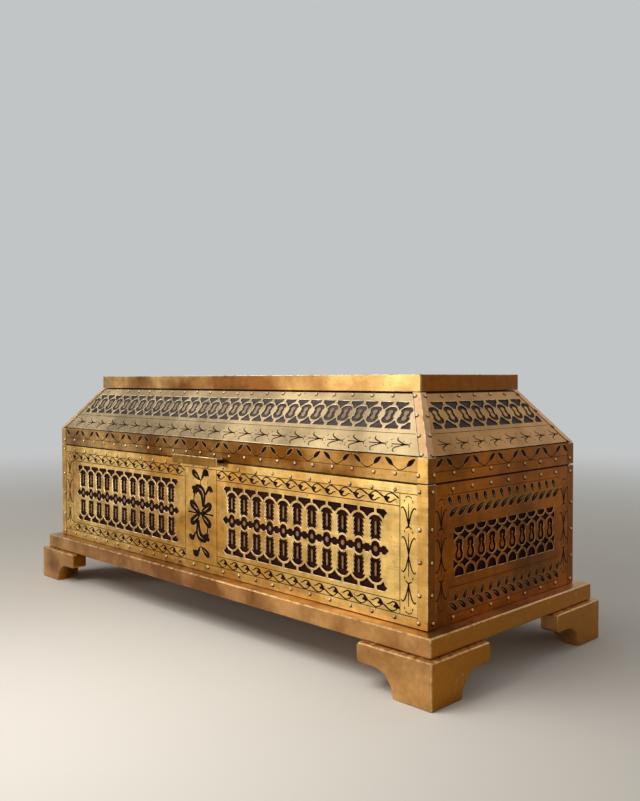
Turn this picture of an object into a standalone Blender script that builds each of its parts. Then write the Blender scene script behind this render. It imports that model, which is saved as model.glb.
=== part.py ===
"""Brass-clad casket with a hinged, hipped lid on a plinth with bracket feet.

Metres, +Z up, +X along the front, front face towards -Y.  The origin lies on the floor
under the middle of the casket.  A wooden carcass carries thin brass sheets, corner angles
cover the edges of the sheets, and two butt hinges with stop heels join the lid to the back.
"""
import math

import bmesh
import bpy
from mathutils import Matrix, Vector

MM = 0.001

# Carcass, measured over the brass
BODY_LENGTH = 380.0 * MM
BODY_DEPTH = 145.0 * MM
BODY_HEIGHT = 74.0 * MM
WALL = 8.0 * MM
FLOOR_THICK = 6.0 * MM

# Plinth and bracket feet
PLINTH_THICK = 10.5 * MM
PLINTH_OVERHANG = 8.0 * MM
FOOT_HEIGHT = 24.0 * MM
FOOT_OVERHANG = 3.7 * MM
FOOT_THICK = 11.5 * MM
FOOT_WING = 50.0 * MM
FOOT_TOE = 25.0 * MM
FOOT_TIP = 10.7 * MM
FOOT_TIP_CHAMFER = 1.2 * MM
COVE_STEPS = 6

# Lid
RIM_HEIGHT = 13.6 * MM
SLOPE_RISE = 32.4 * MM
SLOPE_INSET = 24.4 * MM
SLOPE_BOARD = 7.0 * MM
SLAB_HEIGHT = 9.7 * MM

# Brass cladding
SHEET = 0.8 * MM
STRIP = 1.0 * MM
CORNER_LEG = 6.5 * MM
HIP_LEG = 5.0 * MM

# Lift lip on the lid's front rim
LIFT_WIDTH = 49.0 * MM
LIFT_REACH = 5.5 * MM
LIFT_DROP = 5.8 * MM
LIFT_SHEET = 1.2 * MM
LIFT_ABOVE_SEAM = 2.4 * MM

# Hinges
HINGE_LENGTH = 40.0 * MM
HINGE_FROM_END = 80.0 * MM
HINGE_OUT = 1.5 * MM
LEAF_THICK = 2.2 * MM
LEAF_MARGIN = 2.0 * MM
BARREL_RADIUS = 2.2 * MM
PIN_RADIUS = 0.9 * MM
PIN_END = 0.6 * MM
KNUCKLES = 3
HEEL_ANGLE = math.radians(52.0)
ROUND_SIDES = 12
SHARP_ANGLE = math.radians(40.0)

# Fretwork of all sheets: width of the brass lines left between holes, and the angles in
# degrees at which the rounded holes have their corners
FRET_LINE = 1.0 * MM
CROWN_ANGLES = (15, 50, 90, 130, 165)
SPANDREL_ANGLES = (80, 50, 24)
HALF_ROUND_ANGLES = (0, 60, 120, 180)
ROUNDEL_ANGLES = (55, 90, 125)

# Arcade fret of the front: a panel either side of the middle flower
FLOWER_HALF = 17.3 * MM
SPRIG_BORDER = 11.6 * MM
ARCADE_MARGIN = 8.0 * MM
ARCADE_PITCH = 12.2 * MM
ARCADE_HEIGHT = 43.2 * MM
ARCH_RISE = 5.0 * MM
ARCH_STRUT = 2.0 * MM
COLUMN_WIDTH = 6.2 * MM
ROUNDEL_WIDTH = 6.4 * MM
ROUNDEL_HEIGHT = 7.8 * MM
LINK_HEIGHT = 2.4 * MM
LINK_KNOB = 4.0 * MM

# Keyhole fret of the ends: half rounds, four-pointed stars and ovals with a waisted hole
KEYHOLE_MARGIN = 3.5 * MM
KEYHOLE_PITCH = 10.1 * MM
KEYHOLE_FRET_HEIGHT = 25.8 * MM
KEYHOLE_HEIGHT = 11.0 * MM
KEYHOLE_WIDTH = 6.8 * MM
KEYHOLE_WAIST = 3.8 * MM
HALF_ROUND_WIDTH = 7.4 * MM
HALF_ROUND_DEPTH = 4.0 * MM
STAR_WIDTH = 6.0 * MM
STAR_HEIGHT = 4.4 * MM

# Waisted fret of the lid's slopes
WAISTED_FROM_TOP = 6.4 * MM
WAISTED_FRET_HEIGHT = 17.4 * MM
WAISTED_PITCH_LONG = 11.2 * MM
WAISTED_PITCH_END = 12.9 * MM
WAISTED_WIDTH = 7.8 * MM
WAISTED_NECK = 5.4 * MM
WAISTED_HEIGHT = 10.2 * MM
WAISTED_MARGIN = 0.6 * MM
SPANDREL_DEPTH = 3.0 * MM
SPANDREL_FOOT = 3.4 * MM
LOBE_LEVEL = 0.6

# Clearances
FIT = 0.2 * MM
MITRE = 0.15 * MM
SEAM = 0.5 * MM
PIN_CLEARANCE = 0.2 * MM
KNUCKLE_CLEARANCE = 0.3 * MM

# Levels and half sizes that follow from the driving dimensions
PLINTH_TOP = FOOT_HEIGHT + PLINTH_THICK
BODY_TOP = PLINTH_TOP + BODY_HEIGHT
RIM_BOTTOM = BODY_TOP + SEAM
RIM_TOP = BODY_TOP + RIM_HEIGHT
SLOPE_TOP = RIM_TOP + SLOPE_RISE
SLAB_TOP = SLOPE_TOP + SLAB_HEIGHT
HALF_X = BODY_LENGTH / 2
HALF_Y = BODY_DEPTH / 2
SKIN = STRIP + FIT
SLOPE_LENGTH = math.hypot(SLOPE_INSET, SLOPE_RISE)
SLOPE_SIN = SLOPE_RISE / SLOPE_LENGTH
SLOPE_COS = SLOPE_INSET / SLOPE_LENGTH
HINGE_Y = HALF_Y + HINGE_OUT
HINGE_Z = BODY_TOP + SEAM / 2
HINGE_AXIS = Vector((0.0, HINGE_Y, HINGE_Z))

# Each side is the one before it in a quarter turn about Z: half its run, how far out its
# face lies and whether its boards run past those of the neighbouring sides
SIDES = {
    "front": (HALF_X, HALF_Y, True),
    "right": (HALF_Y, HALF_X, False),
    "back": (HALF_X, HALF_Y, True),
    "left": (HALF_Y, HALF_X, False),
}
CORNERS = {
    "front_left": (-1, -1),
    "front_right": (1, -1),
    "back_left": (-1, 1),
    "back_right": (1, 1),
}


def clear_scene():
    for old in list(bpy.data.objects):
        bpy.data.objects.remove(old, do_unlink=True)


def finish(name, colour, roughness, metallic):
    """Principled material from a linear colour."""
    material = bpy.data.materials.new(name)
    material.use_nodes = True
    shader = material.node_tree.nodes["Principled BSDF"]
    shader.inputs["Base Color"].default_value = (*colour, 1.0)
    shader.inputs["Roughness"].default_value = roughness
    shader.inputs["Metallic"].default_value = metallic
    return material


def place(name, data, material, parent=None):
    """Object of that name in the scene; a parented one keeps its own world place."""
    data.materials.append(material)
    obj = bpy.data.objects.new(name, data)
    bpy.context.scene.collection.objects.link(obj)
    if parent is not None:
        obj.parent = parent
        obj.matrix_parent_inverse = Matrix.Translation(parent.location).inverted()
    return obj


def loft(name, lower, upper, material, parent=None):
    """Closed solid between two outlines with the same number of points."""
    bm = bmesh.new()
    first = [bm.verts.new(point) for point in lower]
    last = [bm.verts.new(point) for point in upper]
    bm.faces.new(first)
    bm.faces.new(last)
    for i in range(len(first)):
        bm.faces.new((first[i - 1], first[i], last[i], last[i - 1]))
    bmesh.ops.recalc_face_normals(bm, faces=bm.faces)
    mesh = bpy.data.meshes.new(name)
    bm.to_mesh(mesh)
    bm.free()
    return place(name, mesh, material, parent)


def block(name, low, high, material, parent=None):
    """Straight board between two opposite corners."""
    corners = ((low[0], low[1]), (high[0], low[1]), (high[0], high[1]), (low[0], high[1]))
    lower = [(x, y, low[2]) for x, y in corners]
    upper = [(x, y, high[2]) for x, y in corners]
    return loft(name, lower, upper, material, parent)


def side_turn(side):
    """Turn that brings the front to a side."""
    return Matrix.Rotation(list(SIDES).index(side) * math.pi / 2, 4, "Z")


def turned(side, u, out, z):
    """World point of a side's own place: u along it, out from the middle, z up."""
    return side_turn(side) @ Vector((u, -out, z))


def board(name, side, half_run, inner, outer, low, high, material, parent=None):
    """Straight board that stands along a side."""
    plan = ((-half_run, outer), (half_run, outer), (half_run, inner), (-half_run, inner))
    lower = [turned(side, u, out, low) for u, out in plan]
    upper = [turned(side, u, out, high) for u, out in plan]
    return loft(name, lower, upper, material, parent)


def cylinder(name, centre_x, length, radius, material):
    """Round bar along the hinge axis."""
    rim = []
    for step in range(ROUND_SIDES):
        angle = 2.0 * math.pi * step / ROUND_SIDES
        rim.append((HINGE_Y + radius * math.cos(angle), HINGE_Z + radius * math.sin(angle)))
    first = [(centre_x - length / 2, y, z) for y, z in rim]
    last = [(centre_x + length / 2, y, z) for y, z in rim]
    obj = loft(name, first, last, material)
    obj.data.shade_smooth()
    obj.data.set_sharp_from_angle(angle=SHARP_ANGLE)
    return obj


def cut(obj, tool, operation="DIFFERENCE"):
    """Live Boolean; the tool stays in the file as a hidden guide."""
    tool.hide_render = True
    tool.display_type = "WIRE"
    modifier = obj.modifiers.new(tool.name, "BOOLEAN")
    modifier.object = tool
    modifier.operation = operation
    modifier.solver = "EXACT"


def sheet(name, outline, holes, frame, material, parent=None):
    """Flat brass sheet in a side's plane, pierced by the holes."""
    curve = bpy.data.curves.new(name, "CURVE")
    curve.dimensions = "2D"
    curve.fill_mode = "BOTH"
    curve.extrude = SHEET / 2
    for points in [outline, *holes]:
        spline = curve.splines.new("POLY")
        spline.points.add(len(points) - 1)
        for knot, (u, v) in zip(spline.points, points):
            knot.co = (u, v, 0.0, 1.0)
        spline.use_cyclic_u = True
    obj = place(name, curve, material, parent)
    obj.matrix_basis = frame @ Matrix.Translation((0.0, 0.0, SHEET / 2))
    return obj


def side_frame(side, out, level, lean=math.pi / 2):
    """Plane of a side: its u runs along the side, its v up at the lean, its normal outwards."""
    return side_turn(side) @ Matrix.Translation((0.0, -out, level)) @ Matrix.Rotation(lean, 4, "X")


def hinge_places():
    offset = HALF_X - HINGE_FROM_END
    return {"hinge_left": -offset, "hinge_right": offset}


def notched(half_run, low, high, at_top):
    """Rectangle with a notch for each hinge in its top or bottom edge, seen from behind."""
    half_notch = HINGE_LENGTH / 2 + FIT
    depth = LEAF_THICK + FIT
    edge, floor = (high, high - depth) if at_top else (low, low + depth)
    far = low if at_top else high
    points = [(-half_run, far), (-half_run, edge)]
    for centre in sorted(hinge_places().values()):
        points += [(centre - half_notch, edge), (centre - half_notch, floor)]
        points += [(centre + half_notch, floor), (centre + half_notch, edge)]
    return points + [(half_run, edge), (half_run, far)]


def rectangle(half_run, low, high):
    return [(-half_run, low), (half_run, low), (half_run, high), (-half_run, high)]


def arc(half_u, half_v, centre_v, degrees):
    """Points on an oval about the line u = 0, at the given angles."""
    points = []
    for degree in degrees:
        angle = math.radians(degree)
        points.append((half_u * math.cos(angle), centre_v + half_v * math.sin(angle)))
    return points


def shifted(points, u, v=0.0, flip=1):
    """Points moved along the sheet; a flip of -1 turns them upside down first."""
    return [(u + x, v + flip * y) for x, y in points]


def row(count, pitch, centre=0.0):
    return [centre + (index - (count - 1) / 2) * pitch for index in range(count)]


def arcade_column():
    """Dark column under its arch, above the roundel."""
    half = COLUMN_WIDTH / 2
    foot = ROUNDEL_HEIGHT / 2 + FRET_LINE
    spring = ARCADE_HEIGHT / 2 - ARCH_STRUT - ARCH_RISE
    crown = arc(ARCADE_PITCH / 2 - FRET_LINE, ARCH_RISE - FRET_LINE, spring, CROWN_ANGLES)
    return [(-half, foot), (half, foot), (half, spring), *crown, (-half, spring)]


def arcade_spandrel(last):
    """Dark corner above the arches, right of one strut; the last one ends in a blunt point."""
    top = ARCADE_HEIGHT / 2
    spring = top - ARCH_STRUT - ARCH_RISE
    rise = arc(ARCADE_PITCH / 2, ARCH_RISE, spring, SPANDREL_ANGLES)
    points = [(rise[0][0], top), *rise]
    if last:
        tip = rise[-1][0] + FRET_LINE
        return points + [(tip, top - ARCH_STRUT), (tip - FRET_LINE, top)]
    return points + [(ARCADE_PITCH - u, v) for u, v in reversed(points)]


def arcade_chain(count):
    """Roundels on a knobbed bar, one hole from end to end of a panel."""
    neck = math.degrees(math.asin(LINK_HEIGHT / ROUNDEL_HEIGHT))
    corners = (neck, *ROUNDEL_ANGLES, 180 - neck)
    roundel = arc(ROUNDEL_WIDTH / 2, ROUNDEL_HEIGHT / 2, 0.0, reversed(corners))
    top = []
    for centre in row(count, ARCADE_PITCH):
        top += shifted(roundel, centre)
        top.append((centre + ARCADE_PITCH / 2, LINK_KNOB / 2))
    first = (top[0][0] - ARCADE_PITCH / 2 + ROUNDEL_WIDTH / 2, LINK_KNOB / 2)
    top = [first, *top]
    tips = [(top[-1][0] + LINK_HEIGHT / 2, 0.0), (first[0] - LINK_HEIGHT / 2, 0.0)]
    below = [(u, -v) for u, v in reversed(top)]
    return [*top, tips[0], *below, tips[1]]


def arcade_fret(half_run, middle):
    """Both panels of the front, between the flower and the sprig borders."""
    inner = FLOWER_HALF + ARCADE_MARGIN
    outer = half_run - CORNER_LEG - SPRIG_BORDER - ARCADE_MARGIN
    count = int((outer - inner) / ARCADE_PITCH)
    holes = []
    for side in (-1, 1):
        centre = side * (inner + outer) / 2
        holes.append(shifted(arcade_chain(count), centre, middle))
        for index, u in enumerate(row(count, ARCADE_PITCH, centre)):
            for flip in (1, -1):
                holes.append(shifted(arcade_column(), u, middle, flip))
                holes.append(shifted(arcade_spandrel(index == count - 1), u, middle, flip))
                if index == 0:
                    mirrored = [(-x, y) for x, y in arcade_spandrel(True)]
                    holes.append(shifted(mirrored, u, middle, flip))
    return holes


def keyhole():
    """Waisted hole of the ends: a small upper and a full lower lobe."""
    low = KEYHOLE_HEIGHT / 2
    full = KEYHOLE_WIDTH / 2
    waist = KEYHOLE_WAIST / 2
    right = [(full / 2, -low), (full, -low / 2), (waist, low / 6)]
    right += [(full - FRET_LINE / 2, low * 2 / 3), (full / 2, low)]
    return right + [(-u, v) for u, v in reversed(right)]


def keyhole_fret(half_run, middle):
    """Fret of an end: rows of half rounds, stars, keyholes, stars and half rounds."""
    span = 2 * (half_run - CORNER_LEG - SPRIG_BORDER - KEYHOLE_MARGIN)
    count = int(span / KEYHOLE_PITCH)
    half = KEYHOLE_FRET_HEIGHT / 2
    half_round = arc(HALF_ROUND_WIDTH / 2, HALF_ROUND_DEPTH, -half, HALF_ROUND_ANGLES)
    star_level = KEYHOLE_HEIGHT / 2 + FRET_LINE
    star = [(STAR_WIDTH / 2, 0.0), (0.0, STAR_HEIGHT / 2)]
    star += [(-u, -v) for u, v in star]
    holes = []
    centres = row(count, KEYHOLE_PITCH)
    for u in centres:
        holes.append(shifted(keyhole(), u, middle))
        for flip in (1, -1):
            holes.append(shifted(half_round, u, middle, flip))
            if u != centres[-1]:
                holes.append(shifted(star, u + KEYHOLE_PITCH / 2, middle + flip * star_level))
    return holes


def waisted_hole():
    """Upright hole of the lid's slopes, drawn in at its middle."""
    half = WAISTED_WIDTH / 2
    high = WAISTED_HEIGHT / 2
    right = [(half * 2 / 3, -high), (half, -high * LOBE_LEVEL), (WAISTED_NECK / 2, 0.0)]
    right += [(half, high * LOBE_LEVEL), (half * 2 / 3, high)]
    return right + [(-u, v) for u, v in reversed(right)]


def waisted_fret(half_run, pitch):
    """Fret along a slope: waisted holes with corners above and below between them."""
    middle = SLOPE_LENGTH - WAISTED_FROM_TOP - WAISTED_FRET_HEIGHT / 2
    shoulder = middle + WAISTED_HEIGHT / 2 * LOBE_LEVEL
    free = half_run - HIP_LEG - 2 * FIT - shoulder * SLOPE_COS - WAISTED_WIDTH / 2 - WAISTED_MARGIN
    count = int(2 * free / pitch) + 1
    edge = WAISTED_FRET_HEIGHT / 2
    wide = pitch / 2 - FRET_LINE
    foot = SPANDREL_FOOT / 2
    corner = [(-wide, edge), (-foot, edge - SPANDREL_DEPTH), (foot, edge - SPANDREL_DEPTH), (wide, edge)]
    holes = []
    centres = row(count, pitch)
    for u in centres:
        holes.append(shifted(waisted_hole(), u, middle))
        if u != centres[-1]:
            for flip in (1, -1):
                holes.append(shifted(corner, u + pitch / 2, middle, flip))
    return holes


def make_carcass(wood):
    """Four walls, with the ends set between front and back, and a floor inside them."""
    for side, (half_run, face, past_ends) in SIDES.items():
        run = half_run - SKIN if past_ends else half_run - SKIN - WALL - FIT
        wall = board(f"{side}_wall", side, run, face - SKIN - WALL, face - SKIN,
                     PLINTH_TOP + FIT, BODY_TOP, wood)
        if side == "back":
            mortise(wall, BODY_TOP, -1)
    inner_x = HALF_X - SKIN - WALL - FIT
    inner_y = HALF_Y - SKIN - WALL - FIT
    floor = PLINTH_TOP + FIT
    block("floor_board", (-inner_x, -inner_y, floor), (inner_x, inner_y, floor + FLOOR_THICK), wood)


def make_plinth(bronze):
    """Overhanging board on four pairs of mitred bracket feet."""
    half_x = HALF_X + PLINTH_OVERHANG
    half_y = HALF_Y + PLINTH_OVERHANG
    block("plinth_board", (-half_x, -half_y, FOOT_HEIGHT + FIT), (half_x, half_y, PLINTH_TOP), bronze)
    for corner, (sign_x, sign_y) in CORNERS.items():
        tip_x = sign_x * (half_x + FOOT_OVERHANG)
        tip_y = sign_y * (half_y + FOOT_OVERHANG)
        for run, name in (("x", "long"), ("y", "end")):
            outer, inner = bracket_outline(MITRE), bracket_outline(MITRE + FOOT_THICK)
            faces = []
            for outline, depth in ((outer, 0.0), (inner, FOOT_THICK)):
                if run == "x":
                    faces.append([(tip_x - sign_x * u, tip_y - sign_y * depth, z) for u, z in outline])
                else:
                    faces.append([(tip_x - sign_x * depth, tip_y - sign_y * u, z) for u, z in outline])
            loft(f"foot_{corner}_{name}", faces[0], faces[1], bronze)


def bracket_outline(start):
    """Bracket foot seen square on: toe on the floor, hollow cove, wing under the plinth."""
    radius = FOOT_HEIGHT - FOOT_TIP
    points = [(start, 0.0)]
    for step in range(COVE_STEPS + 1):
        angle = math.pi - math.pi / 2 * step / COVE_STEPS
        points.append((FOOT_TOE + radius + radius * math.cos(angle), radius * math.sin(angle)))
    points += [(FOOT_WING - FOOT_TIP_CHAMFER, radius), (FOOT_WING, radius + FOOT_TIP_CHAMFER)]
    points += [(FOOT_WING, FOOT_HEIGHT - FOOT_TIP_CHAMFER), (FOOT_WING - FOOT_TIP_CHAMFER, FOOT_HEIGHT)]
    return points + [(start, FOOT_HEIGHT)]


def angle_outline(sign_x, sign_y, leg, thick):
    """Plan of a corner angle whose outer corner is the casket's corner."""
    near = [(0.0, 0.0), (leg, 0.0), (leg, thick), (thick, thick), (thick, leg), (0.0, leg)]
    return [(sign_x * (HALF_X - x), sign_y * (HALF_Y - y)) for x, y in near]


def make_body_brass(brass):
    """Pierced sheets on the four walls and angles over the corners."""
    low = PLINTH_TOP + FIT
    for side, (half_run, face, _) in SIDES.items():
        run = half_run - CORNER_LEG - FIT
        height = BODY_TOP - low
        outline, holes = rectangle(run, 0.0, height), keyhole_fret(half_run, height / 2)
        if side == "front":
            holes = arcade_fret(half_run, height / 2)
        elif side == "back":
            outline, holes = notched(run, 0.0, height, True), []
        sheet(f"{side}_sheet", outline, holes, side_frame(side, face - STRIP, low), brass)
    for corner, (sign_x, sign_y) in CORNERS.items():
        plan = angle_outline(sign_x, sign_y, CORNER_LEG, STRIP)
        lower = [(x, y, low) for x, y in plan]
        upper = [(x, y, BODY_TOP) for x, y in plan]
        loft(f"corner_angle_{corner}", lower, upper, brass)


def make_lid_wood(wood, axis):
    """Rim boards, four mitred sloping boards and the flat top board, hollow below."""
    for side, (half_run, face, past_ends) in SIDES.items():
        run = half_run - SKIN if past_ends else half_run - SKIN - WALL - FIT
        rim = board(f"lid_rim_{side}", side, run, face - SKIN - WALL, face - SKIN,
                    RIM_BOTTOM, RIM_TOP, wood, axis)
        if side == "back":
            mortise(rim, RIM_BOTTOM, 1)
        outlines = []
        for level in (RIM_TOP + FIT, SLOPE_TOP):
            back_off = (level - RIM_TOP) * SLOPE_INSET / SLOPE_RISE
            outer = back_off + SKIN / SLOPE_SIN
            inner = outer + SLOPE_BOARD / SLOPE_SIN
            plan = ((outer - half_run + MITRE, outer), (half_run - outer - MITRE, outer),
                    (half_run - inner - MITRE, inner), (inner - half_run + MITRE, inner))
            outlines.append([turned(side, u, face - depth, level) for u, depth in plan])
        loft(f"lid_slope_{side}", outlines[0], outlines[1], wood, axis)
    half_x = HALF_X - SLOPE_INSET - SKIN
    half_y = HALF_Y - SLOPE_INSET - SKIN
    block("lid_top_board", (-half_x, -half_y, SLOPE_TOP + FIT),
          (half_x, half_y, SLAB_TOP - SHEET - FIT), wood, axis)


def make_lid_brass(brass, axis):
    """Rim bands, pierced slope sheets, corner angles, hip strips and the slab's edging and top."""
    foot = (STRIP * SLOPE_COS + FIT) / SLOPE_SIN
    for side, (half_run, face, past_ends) in SIDES.items():
        run = half_run - CORNER_LEG - FIT
        height = RIM_TOP - RIM_BOTTOM
        outline = notched(run, 0.0, height, False) if side == "back" else rectangle(run, 0.0, height)
        sheet(f"lid_rim_band_{side}", outline, [], side_frame(side, face - STRIP, RIM_BOTTOM), brass, axis)
        lean = math.atan2(SLOPE_RISE, SLOPE_INSET)
        frame = side_frame(side, face, RIM_TOP, lean) @ Matrix.Translation((0.0, 0.0, -STRIP))
        edge = half_run - HIP_LEG - 2 * FIT
        slope = [(-edge + foot * SLOPE_COS, foot), (edge - foot * SLOPE_COS, foot)]
        slope += [(edge - SLOPE_INSET, SLOPE_LENGTH), (SLOPE_INSET - edge, SLOPE_LENGTH)]
        pitch = WAISTED_PITCH_LONG if past_ends else WAISTED_PITCH_END
        sheet(f"lid_slope_sheet_{side}", slope, waisted_fret(half_run, pitch), frame, brass, axis)
        slab_face = face - SLOPE_INSET
        slab_run = half_run - SLOPE_INSET
        if not past_ends:
            slab_run -= STRIP + FIT
        board(f"lid_edging_{side}", side, slab_run, slab_face - STRIP, slab_face,
              SLOPE_TOP + FIT, SLAB_TOP, brass, axis)
    for corner, (sign_x, sign_y) in CORNERS.items():
        plan = angle_outline(sign_x, sign_y, CORNER_LEG, STRIP)
        lower = [(x, y, RIM_BOTTOM) for x, y in plan]
        upper = [(x, y, RIM_TOP) for x, y in plan]
        loft(f"lid_corner_angle_{corner}", lower, upper, brass, axis)
        plan = angle_outline(sign_x, sign_y, HIP_LEG, STRIP / SLOPE_SIN)
        ends = []
        for level in (RIM_TOP + FIT, SLOPE_TOP):
            back_off = (level - RIM_TOP) * SLOPE_INSET / SLOPE_RISE
            ends.append([(x - sign_x * back_off, y - sign_y * back_off, level) for x, y in plan])
        loft(f"lid_hip_strip_{corner}", ends[0], ends[1], brass, axis)
    half_x = HALF_X - SLOPE_INSET - SKIN
    half_y = HALF_Y - SLOPE_INSET - SKIN
    block("lid_top_sheet", (-half_x, -half_y, SLAB_TOP - SHEET), (half_x, half_y, SLAB_TOP), brass, axis)


def make_lift(brass, axis):
    """Folded lip: a shelf out from the front rim with its edge turned down over the seam."""
    top = RIM_BOTTOM + LIFT_ABOVE_SEAM
    back = HALF_Y + FIT
    front = HALF_Y + LIFT_REACH
    under = top - LIFT_SHEET
    section = [(back, top), (back, under), (front - LIFT_SHEET, under),
               (front - LIFT_SHEET, top - LIFT_DROP), (front, top - LIFT_DROP), (front, top)]
    ends = []
    for u in (-LIFT_WIDTH / 2, LIFT_WIDTH / 2):
        ends.append([turned("front", u, out, z) for out, z in section])
    loft("lid_lift", ends[0], ends[1], brass, axis)


def leaf_reach():
    """How far a hinge leaf runs from the axis into the wood."""
    return HINGE_OUT + SKIN + WALL - LEAF_MARGIN


def mortise(wood, edge, sign):
    """Pockets for the hinge leaves in the edge of a back board; sign is -1 below the seam."""
    depth = LEAF_THICK + FIT
    for name, centre in hinge_places().items():
        levels = sorted((edge + sign * depth, edge - sign * depth))
        low = (centre - HINGE_LENGTH / 2 - FIT, HINGE_Y - leaf_reach() - FIT, levels[0])
        high = (centre + HINGE_LENGTH / 2 + FIT, HALF_Y + FIT, levels[1])
        cut(wood, block(f"{wood.name}_{name}_pocket", low, high, wood.data.materials[0]))


def make_hinges(brass, pin_brass, axis):
    """Two butt hinges: leaves let into the wood, bevelled heels behind the pin as stops."""
    knuckle = HINGE_LENGTH / KNUCKLES
    for name, centre in hinge_places().items():
        for part, sign in (("body_leaf", -1), ("lid_leaf", 1)):
            near = SEAM / 2
            far = near + LEAF_THICK
            section = [(-leaf_reach(), near), (near / math.tan(HEEL_ANGLE), near),
                       (far / math.tan(HEEL_ANGLE), far), (-leaf_reach(), far)]
            ends = []
            for x in (centre - HINGE_LENGTH / 2, centre + HINGE_LENGTH / 2):
                ends.append([(x, HINGE_Y + y, HINGE_Z + sign * z) for y, z in section])
            leaf = loft(f"{name}_{part}", ends[0], ends[1], brass, axis if sign > 0 else None)
            for index in range(KNUCKLES):
                x = centre + (index - (KNUCKLES - 1) / 2) * knuckle
                own = (index % 2 == 0) == (sign < 0)
                label = f"{leaf.name}_knuckle_{index + 1}"
                if own:
                    barrel = cylinder(label, x, knuckle - KNUCKLE_CLEARANCE, BARREL_RADIUS, brass)
                    cut(leaf, barrel, "UNION")
                else:
                    room = cylinder(label, x, knuckle + KNUCKLE_CLEARANCE,
                                    BARREL_RADIUS + KNUCKLE_CLEARANCE, brass)
                    cut(leaf, room)
            bore = cylinder(f"{leaf.name}_bore", centre, 2 * HINGE_LENGTH,
                            PIN_RADIUS + PIN_CLEARANCE, brass)
            cut(leaf, bore)
        cylinder(f"{name}_pin", centre, HINGE_LENGTH + 2 * PIN_END, PIN_RADIUS, pin_brass)


def main():
    clear_scene()
    brass = finish("aged_brass", (0.55, 0.35, 0.10), 0.33, 1.0)
    lid_brass = finish("pale_brass", (0.60, 0.44, 0.20), 0.38, 1.0)
    bronze = finish("bronzed_wood", (0.36, 0.19, 0.06), 0.45, 0.7)
    wood = finish("ebonised_wood", (0.02, 0.012, 0.009), 0.5, 0.0)
    pin_brass = finish("hinge_pin_brass", (0.42, 0.27, 0.09), 0.4, 1.0)
    axis = bpy.data.objects.new("lid_hinge_axis", None)
    axis.location = HINGE_AXIS
    bpy.context.scene.collection.objects.link(axis)
    make_carcass(wood)
    make_plinth(bronze)
    make_body_brass(brass)
    make_lid_wood(wood, axis)
    make_lid_brass(lid_brass, axis)
    make_lift(brass, axis)
    make_hinges(brass, pin_brass, axis)


main()
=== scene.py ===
"""Looks of the brass-clad casket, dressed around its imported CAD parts.

The pierced sheets are cut again with their saw-toothed edges, and carry inlaid slivers,
blackened engraving and round-headed pins.  Strips, plinth, feet and lip are the CAD parts with
rubbed edges.  Ornament is drawn in millimetres on each sheet's own plane: u along the sheet,
v up it from its lower edge, or from the middle of its own figure.
"""
import math
import random
from collections import namedtuple

import bmesh
import bpy
from mathutils import Matrix, Vector


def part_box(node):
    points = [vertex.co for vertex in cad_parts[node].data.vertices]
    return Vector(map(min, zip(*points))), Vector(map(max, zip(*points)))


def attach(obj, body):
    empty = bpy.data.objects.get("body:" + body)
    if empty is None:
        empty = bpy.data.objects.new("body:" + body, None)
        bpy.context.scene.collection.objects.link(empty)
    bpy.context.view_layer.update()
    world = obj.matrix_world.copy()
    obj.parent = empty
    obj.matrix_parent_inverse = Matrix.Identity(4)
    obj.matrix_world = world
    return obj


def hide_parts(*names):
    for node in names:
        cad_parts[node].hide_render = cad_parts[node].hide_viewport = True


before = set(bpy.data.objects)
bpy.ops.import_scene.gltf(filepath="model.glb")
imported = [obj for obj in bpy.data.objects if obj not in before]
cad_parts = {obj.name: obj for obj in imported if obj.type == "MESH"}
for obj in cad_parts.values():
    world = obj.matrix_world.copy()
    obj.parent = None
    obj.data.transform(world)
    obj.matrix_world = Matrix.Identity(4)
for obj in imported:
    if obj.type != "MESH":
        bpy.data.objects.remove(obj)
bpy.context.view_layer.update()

MM = 0.001
SHARP = True

# Flat work: lengths in millimetres, wear and burrs up to 1
HOLE_CHAMFER = 0.24
CHAMFER_FACING = (0.3, 0.95)
HOLE_WEAR = 0.9
ENGRAVING_DEPTH = 0.06
ENGRAVING_PROUD = 0.03
BURR_WIDTH = 0.15
BURR_SUNK = 0.01
LEAF_BURR = 0.58
FLOWER_BURR = 0.9
INLAY_THICK = 0.6
INLAY_SUNK = 0.2
GROUND_THICK = 0.08
LINE_WIDTH = 0.42
FAINT_WIDTH = 0.28
# Widths of painted shade along the seam under the lid and under the slab
SEAM_SHADE = 0.5
SLAB_SHADE = 0.9
CURVE_STEPS = 4

# Arcade fret, flower panel and sprig borders of the front, in millimetres
FLOWER_HALF = 17.3
FLOWER_RISE = 1.3
SPRIG_BORDER = 11.6
BARE_LILY_SIZE = 0.95
ARCADE_MARGIN = 8.0
ARCADE_PITCH = 12.2
ARCADE_SHIFT = -0.9
COLUMN_BARBS = 4
BARB_RISE = 2.25

# Vine bands of the front, measured in from the sheet's upper and lower edge
BAND_OUTER = 5.5
BAND_INNER = 12.2
VINE_PITCH = 11.0
VINE_COUNT = 14
VINE_SHIFT = 3.3

# Keyhole fret, laurel bands, sprig borders and faint lines of the ends
KEYHOLE_PITCH = 10.1
KEYHOLE_MARGIN = 3.5
LAUREL_PITCH = 7.9
LAUREL_COUNT = 14
END_BORDER_SHIFT = 1.2
END_SPRIG_SIZE = 0.95
END_LINE_FOOT = 4.9
END_LINE_DOWN = 18.0
END_LINE_HEAD = 6.5

# Waisted fret, line and lilies of the lid's slopes, measured down from the slab
WAISTED_DOWN = 15.1
WAISTED_END_ROOM = 4.9
SLOPE_LINE_DOWN = 26.6
SLOPE_LINE_SHORT = 1.0
SPRIG_DOWN = 33.4
SPRIG_LENGTH = 12.0
SPRIG_SHIFT = 2.4

# Swags of the lid's rim, measured up from the seam
SWAG_TOP = 12.1
SWAG_LINE = 5.5
BUD_REACH = 7.1

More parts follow.
